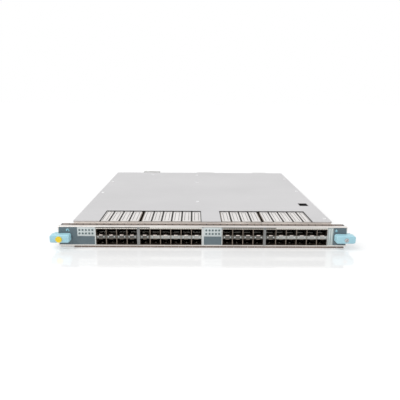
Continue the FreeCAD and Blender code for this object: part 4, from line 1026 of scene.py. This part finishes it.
# %% [markdown]
# At the right end of the ports is a pale plate with two brighter strips, where the real card carries its
# printed lines. The strips are left bare. They could be a stripe in the plate's material, but two raised
# fields with a finish of their own keep a sharp edge at any distance.

# %% Plate with two strips
STRIPS = ((174.3, 175.2), (177.3, 178.5))
STRIP_HEIGHTS = (5.4, 28.4)


def strip_plate(name):
    low, high = STRIP_HEIGHTS
    piece = begin(name, size=1)
    fit((172.9, -0.5, 4.6), (180.1, -0.05, 29.2))
    score((1, 0, 0), *[(edge, 0, 0) for strip in STRIPS for edge in strip])
    score((0, 0, 1), (0, 0, low), (0, 0, high))
    pick(piece, "FACE", lambda middle, face: looks(face, FRONT) and low < middle.z < high
         and any(left < middle.x < right for left, right in STRIPS))
    extrude(back=-0.08)
    close(piece)
    piece.data.materials.append(plate_grey)
    piece.data.materials.append(strip_white)
    # Only the raised fields lie more than 0.57 mm in front of the panel.
    for face in piece.data.polygons:
        if face.center.y < FACE - 0.57 * MM and looks(face, FRONT):
            face.material_index = 1
    return piece


plate = settle(strip_plate("strip_plate"), None)
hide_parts("id_plate")
print("strips:", len(STRIPS))

# %% [markdown]
# The levers are moulded in light-blue nylon. Each is a bar in front of the panel that the fingers pull,
# an arm round the panel's end, a hub on the pivot pin, and a claw that hooks behind the chassis. It has
# a stepped bore for its captive screw and a plain one for the pin. A round hole can't be pushed through a
# face, so the bores are cut with a Boolean, and they come last, when the edges are already rounded.

# %% Bores of the ejector levers
LOCK = (195.4, 15.4)
PIVOT = (195.5, 9.6)


def bore(piece, radius, start, end, axis):
    """Cut a round hole between two places in millimetres, along the axis named Y or Z."""
    length = (Vector(end) - Vector(start)).length
    begin("cutter", "cylinder", vertices=40, radius=radius * MM, depth=length * MM)
    if axis == "Y":
        stand()
    bpy.ops.transform.translate(value=(place(*start) + place(*end)) / 2)
    cutter = close(bpy.context.object)
    apply(piece, "BOOLEAN", operation="DIFFERENCE", object=cutter, solver="MANIFOLD")
    bpy.data.objects.remove(cutter)


print("screw bore at", LOCK, "pivot bore at", PIVOT)

# %% [markdown]
# The lever itself could be joined from boxes and cylinders with Booleans, but the seams would spoil the
# rounded edges. So one lever is drawn out face by face from the bar, its edges are rounded as a mould
# leaves them, and its arm is lowered towards the rear. The other lever is its mirror image.

# %% Ejector levers
BAR_SIDES, BAR_REAR = (181.35, 207.85), -1.2
ARM_SIDES = (200.35, 203.65)
HUB_SIDE, HUB_FRONT = 191.0, 5.1
ARM_DROP = 3.7


def lever(name):
    # The bar, and behind its outer end the arm, drawn back in three steps.
    piece = begin(name, size=1)
    fit((BAR_SIDES[0], -12.0, 10.5), (BAR_SIDES[1], BAR_REAR, 21.1))
    score((1, 0, 0), *[(across, 0, 0) for across in ARM_SIDES])
    pick(piece, "FACE", lambda middle, face: looks(face, REAR) and middle.x > ARM_SIDES[0])
    extrude(back=7.4)
    pick(piece, "FACE", lambda middle, face: looks(face, REAR) and ARM_SIDES[0] < middle.x < ARM_SIDES[1])
    extrude(back=4.0)
    extrude(back=3.9)
    # The last step turns outwards into the claw, and the inner side behind the panel into the hub.
    pick(piece, "FACE", lambda middle, face: looks(face, OUTER) and middle.y > 10.3)
    extrude(across=4.2)
    score((0, 1, 0), (0, HUB_FRONT, 0))
    pick(piece, "FACE", lambda middle, face: looks(face, INNER) and middle.x > 200
         and middle.y > HUB_FRONT)
    extrude(across=HUB_SIDE - ARM_SIDES[0])
    bpy.ops.mesh.select_all(action="SELECT")
    bpy.ops.mesh.dissolve_limited(angle_limit=math.radians(1))
    # Rounded edges: the hub's end, the bar's two ends, and the rim of the bar's face.
    pick(piece, "EDGE", lambda middle, edge: along(edge, 2) and abs(middle.x - HUB_SIDE) < 0.1)
    bevel(4.3, 8)
    pick(piece, "EDGE", lambda middle, edge: along(edge, 1) and middle.y < 6
         and min(abs(middle.x - side) for side in BAR_SIDES) < 0.05)
    bevel(2.6, 6)
    pick(piece, "FACE", lambda middle, face: looks(face, FRONT))
    bpy.ops.mesh.region_to_loop()
    bevel(1.1, 4)
    # A cut at the bar's rear keeps the bar's top level while the arm's top is lowered behind it.
    score((0, 1, 0), (0, BAR_REAR, 0))
    pick(piece, "VERT", lambda middle, corner: middle.y > 1.0 and middle.z > 17.0)
    bpy.ops.transform.translate(value=(0, 0, -ARM_DROP * MM))
    close(piece)
    # The bores: the screw's head, its shank, its clip, and the pivot pin.
    across, up = LOCK
    bore(piece, 3.1, (across, -13.0, up), (across, -8.74, up), "Y")
    bore(piece, 1.75, (across, -9.0, up), (across, 0.0, up), "Y")
    bore(piece, 2.95, (across, -2.4, up), (across, 0.0, up), "Y")
    bore(piece, 1.55, (*PIVOT, 9.0), (*PIVOT, 22.0), "Z")
    bpy.ops.object.shade_smooth_by_angle(angle=math.radians(35))
    return piece


right_lever = lever("nylon_lever_right")
left_lever = mirrored(right_lever, "nylon_lever_left")
settle(right_lever, lever_nylon, "lever_right")
settle(left_lever, lever_nylon, "lever_left")
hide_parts("lever_right")
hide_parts("lever_left")
print("lever faces:", len(right_lever.data.polygons))

# %% [markdown]
# A captive screw passes through each bar. Its head is turned, with a raised rim, and has a deep recess for
# the driver that shows dark. On the left a yellow cap is pressed into that recess. The cap is slightly
# dished with a rounded edge, and marks the side that is opened first. A profile could be spun for each,
# but both are stepped cylinders, so a cylinder with insets and extrusions is quicker to follow.

# %% Captive screws and cap
def captive_screw(name):
    piece = begin(name, "cylinder", vertices=40, radius=2.9 * MM, depth=3.4 * MM)
    stand()
    bpy.ops.transform.translate(value=place(LOCK[0], -10.5, LOCK[1]))
    # The shank, drawn back from the head.
    pick(piece, "FACE", lambda middle, face: looks(face, REAR))
    inset(1.3)
    extrude(back=7.3)
    # The raised rim, then the driver's recess inside it.
    pick(piece, "FACE", lambda middle, face: looks(face, FRONT))
    inset(0.45)
    extrude(back=0.2)
    inset(0.75)
    extrude(back=1.9)
    pick(piece, "EDGE", lambda middle, edge: middle.y < -12.15)
    bevel(0.12, 2)
    return close(piece)


def yellow_cap(name):
    piece = begin(name, "cylinder", vertices=48, radius=4.3 * MM, depth=0.7 * MM)
    stand()
    bpy.ops.transform.translate(value=place(-LOCK[0], -12.75, LOCK[1]))
    # A plug behind the cap goes into the screw's recess.
    pick(piece, "FACE", lambda middle, face: looks(face, REAR))
    inset(3.0)
    extrude(back=1.9)
    pick(piece, "EDGE", lambda middle, edge: middle.y < -13.05)
    bevel(0.3, 4)
    # The dish in the cap's face.
    pick(piece, "FACE", lambda middle, face: looks(face, FRONT, 0.99))
    inset(0.7)
    extrude(back=0.12)
    return close(piece)


right_screw = captive_screw("turned_screw_right")
left_screw = mirrored(right_screw, "turned_screw_left")
settle(right_screw, screw_steel, "captive_screw_right")
settle(left_screw, screw_steel, "captive_screw_left")
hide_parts("captive_screw_right")
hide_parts("captive_screw_left")
cap = settle(yellow_cap("cap_left"), cap_plastic, "captive_screw_left")
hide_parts("screw_cap_left")
print("captive screws: 2, cap: 1")

# %% [markdown]
# Nine low pan-head screws hold the cover. The head is a turned disc with a rounded rim and a driver's
# recess, and its shank goes down into a nut or a post. One screw is modelled on the Z axis and copied to
# the places in the list, given along the panel and behind its face.

# %% Cover screws
HEAD_MIDDLE = 32.95
COVER_SCREWS = [(-176.3, 200.0), (-176.3, 300.0), (176.3, 35.0), (176.3, 217.5), (176.3, 333.0),
                (-7.0, 135.0), (-7.0, 294.0), (-7.0, 375.5), (-102.8, 378.5)]


def cover_screw(name):
    piece = begin(name, "cylinder", vertices=24, radius=2.6 * MM, depth=0.68 * MM)
    bpy.ops.transform.translate(value=(0, 0, HEAD_MIDDLE * MM))
    pick(piece, "FACE", lambda middle, face: looks(face, BOTTOM))
    inset(1.2)
    extrude(up=-4.6)
    pick(piece, "EDGE", lambda middle, edge: middle.z > 33.2)
    bevel(0.25, 3)
    pick(piece, "FACE", lambda middle, face: looks(face, TOP, 0.99))
    inset(1.15)
    extrude(up=-0.2)
    return close(piece)


screw_model = cover_screw("cover_screw")
for number, (across, back) in enumerate(COVER_SCREWS, 1):
    screw = copied(screw_model, f"cover_screw_{number}", across=across, back=FACE / MM + back)
    settle(screw, bright_zinc)
    if number == 1:
        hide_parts("cover_screws")
bpy.data.objects.remove(screw_model)
print("cover screws:", len(COVER_SCREWS))

# %% [markdown]
# At the rear, each slot of the backplane plugs holds a contact blade. The signal plugs have one thin blade
# per wafer, and the power plug has six broad ones. All are the same shape at other sizes, a flat strip
# with a drawn-in tip, so one function makes a row of any of them.

# %% Contact blades at the rear
BLADE_BACK = (426.5, 431.6)


def blades(name, left, width, heights, count, pitch):
    """A row of blades: the first one's left edge and width, their lowest and highest point, how many."""
    piece = begin(name, size=1)
    fit((left, BLADE_BACK[0], heights[0]), (left + width, BLADE_BACK[1], heights[1]))
    pick(piece, "FACE", lambda middle, face: looks(face, REAR))
    extrude(back=0.8)
    bpy.ops.transform.resize(value=(0.5, 1, 0.96))
    close(piece)
    repeat(piece, count, across=pitch)
    return settle(piece, contact_gold)


blades("signal_blades_left", -124.75, 0.4, (7.0, 28.3), 15, 2.2)
blades("signal_blades_middle", -3.75, 0.4, (7.0, 25.7), 16, 2.2)
blades("power_blades", 125.0, 1.0, (9.0, 23.7), 6, 25.8 / 6)
print("rows of blades: 3")

# %% [markdown]
# The card stands on a plain white surface in a white room. A shadow catcher would leave the ground pure
# white, but it can't mirror anything, and this surface is glossy enough to show a faint mirror image of
# the card. So it is a real plane, and it glows a little to the camera and to mirrored rays only, which
# keeps it white there and lets it still take the shadow.

# %% Floor
FLOOR_HALF = 6.0
FLOOR_GLOW = 0.20

bpy.ops.mesh.primitive_plane_add(size=2 * FLOOR_HALF, location=(0, 0, 0))
floor = bpy.context.object
floor.name = "floor"
floor_white, tree, shader = new_material("white_floor", Roughness=0.08, IOR=1.7,
                                           Base_Color=(0.82, 0.82, 0.82, 1))
rays = add(tree, "ShaderNodeLightPath")
seen = add(tree, "ShaderNodeMath", {0: rays.outputs["Is Camera Ray"], 1: rays.outputs["Is Glossy Ray"]},
           operation="MAXIMUM")
glow = add(tree, "ShaderNodeMath", {0: seen.outputs[0]}, operation="MULTIPLY")
glow.inputs[1].default_value = FLOOR_GLOW
shader.inputs["Emission Color"].default_value = (1, 1, 1, 1)
tree.links.new(glow.outputs[0], shader.inputs["Emission Strength"])
floor.data.materials.append(floor_white)
print("floor", 2 * FLOOR_HALF, "m wide")

# %% [markdown]
# The room is an even white to the camera, in mirrors and through clear pieces, and a weaker white as
# light, so the shadows stay soft but don't vanish. One wide lamp from the upper left and a weaker one
# from the right give the shadows their side and the metal its highlights. An image of a studio would
# light the metal too, but with reflections that belong to another room.

# %% Room and lamps
ROOM_LIGHT = 0.62

world = bpy.data.worlds.new("studio")
world.use_nodes = True
bpy.context.scene.world = world
tree = world.node_tree
rays = add(tree, "ShaderNodeLightPath")
direct = add(tree, "ShaderNodeMath", {0: rays.outputs["Is Camera Ray"], 1: rays.outputs["Is Glossy Ray"]},
             operation="MAXIMUM")
plain = add(tree, "ShaderNodeMath", {0: direct.outputs[0], 1: rays.outputs["Is Transmission Ray"]},
            operation="MAXIMUM")
strength = add(tree, "ShaderNodeMapRange", {"Value": plain.outputs[0]},
               To_Min=ROOM_LIGHT, To_Max=1.0)
tree.links.new(strength.outputs[0], tree.nodes["Background"].inputs["Strength"])
tree.nodes["Background"].inputs["Color"].default_value = (1, 1, 1, 1)

# Each lamp's place and width in metres, and its power in watts.
LAMPS = {
    "lamp_upper_left": ((-1.1, -0.9, 1.7), 1.6, 22),
    "lamp_right": ((1.6, -1.2, 1.0), 1.2, 6),
}
for name, (spot, side, power) in LAMPS.items():
    light = bpy.data.lights.new(name, "AREA")
    light.size = side
    light.energy = power
    lamp = bpy.data.objects.new(name, light)
    bpy.context.scene.collection.objects.link(lamp)
    lamp.location = spot
    lamp.rotation_euler = (-Vector(spot)).to_track_quat("-Z", "Y").to_euler()
print("room and", len(LAMPS), "lamps")
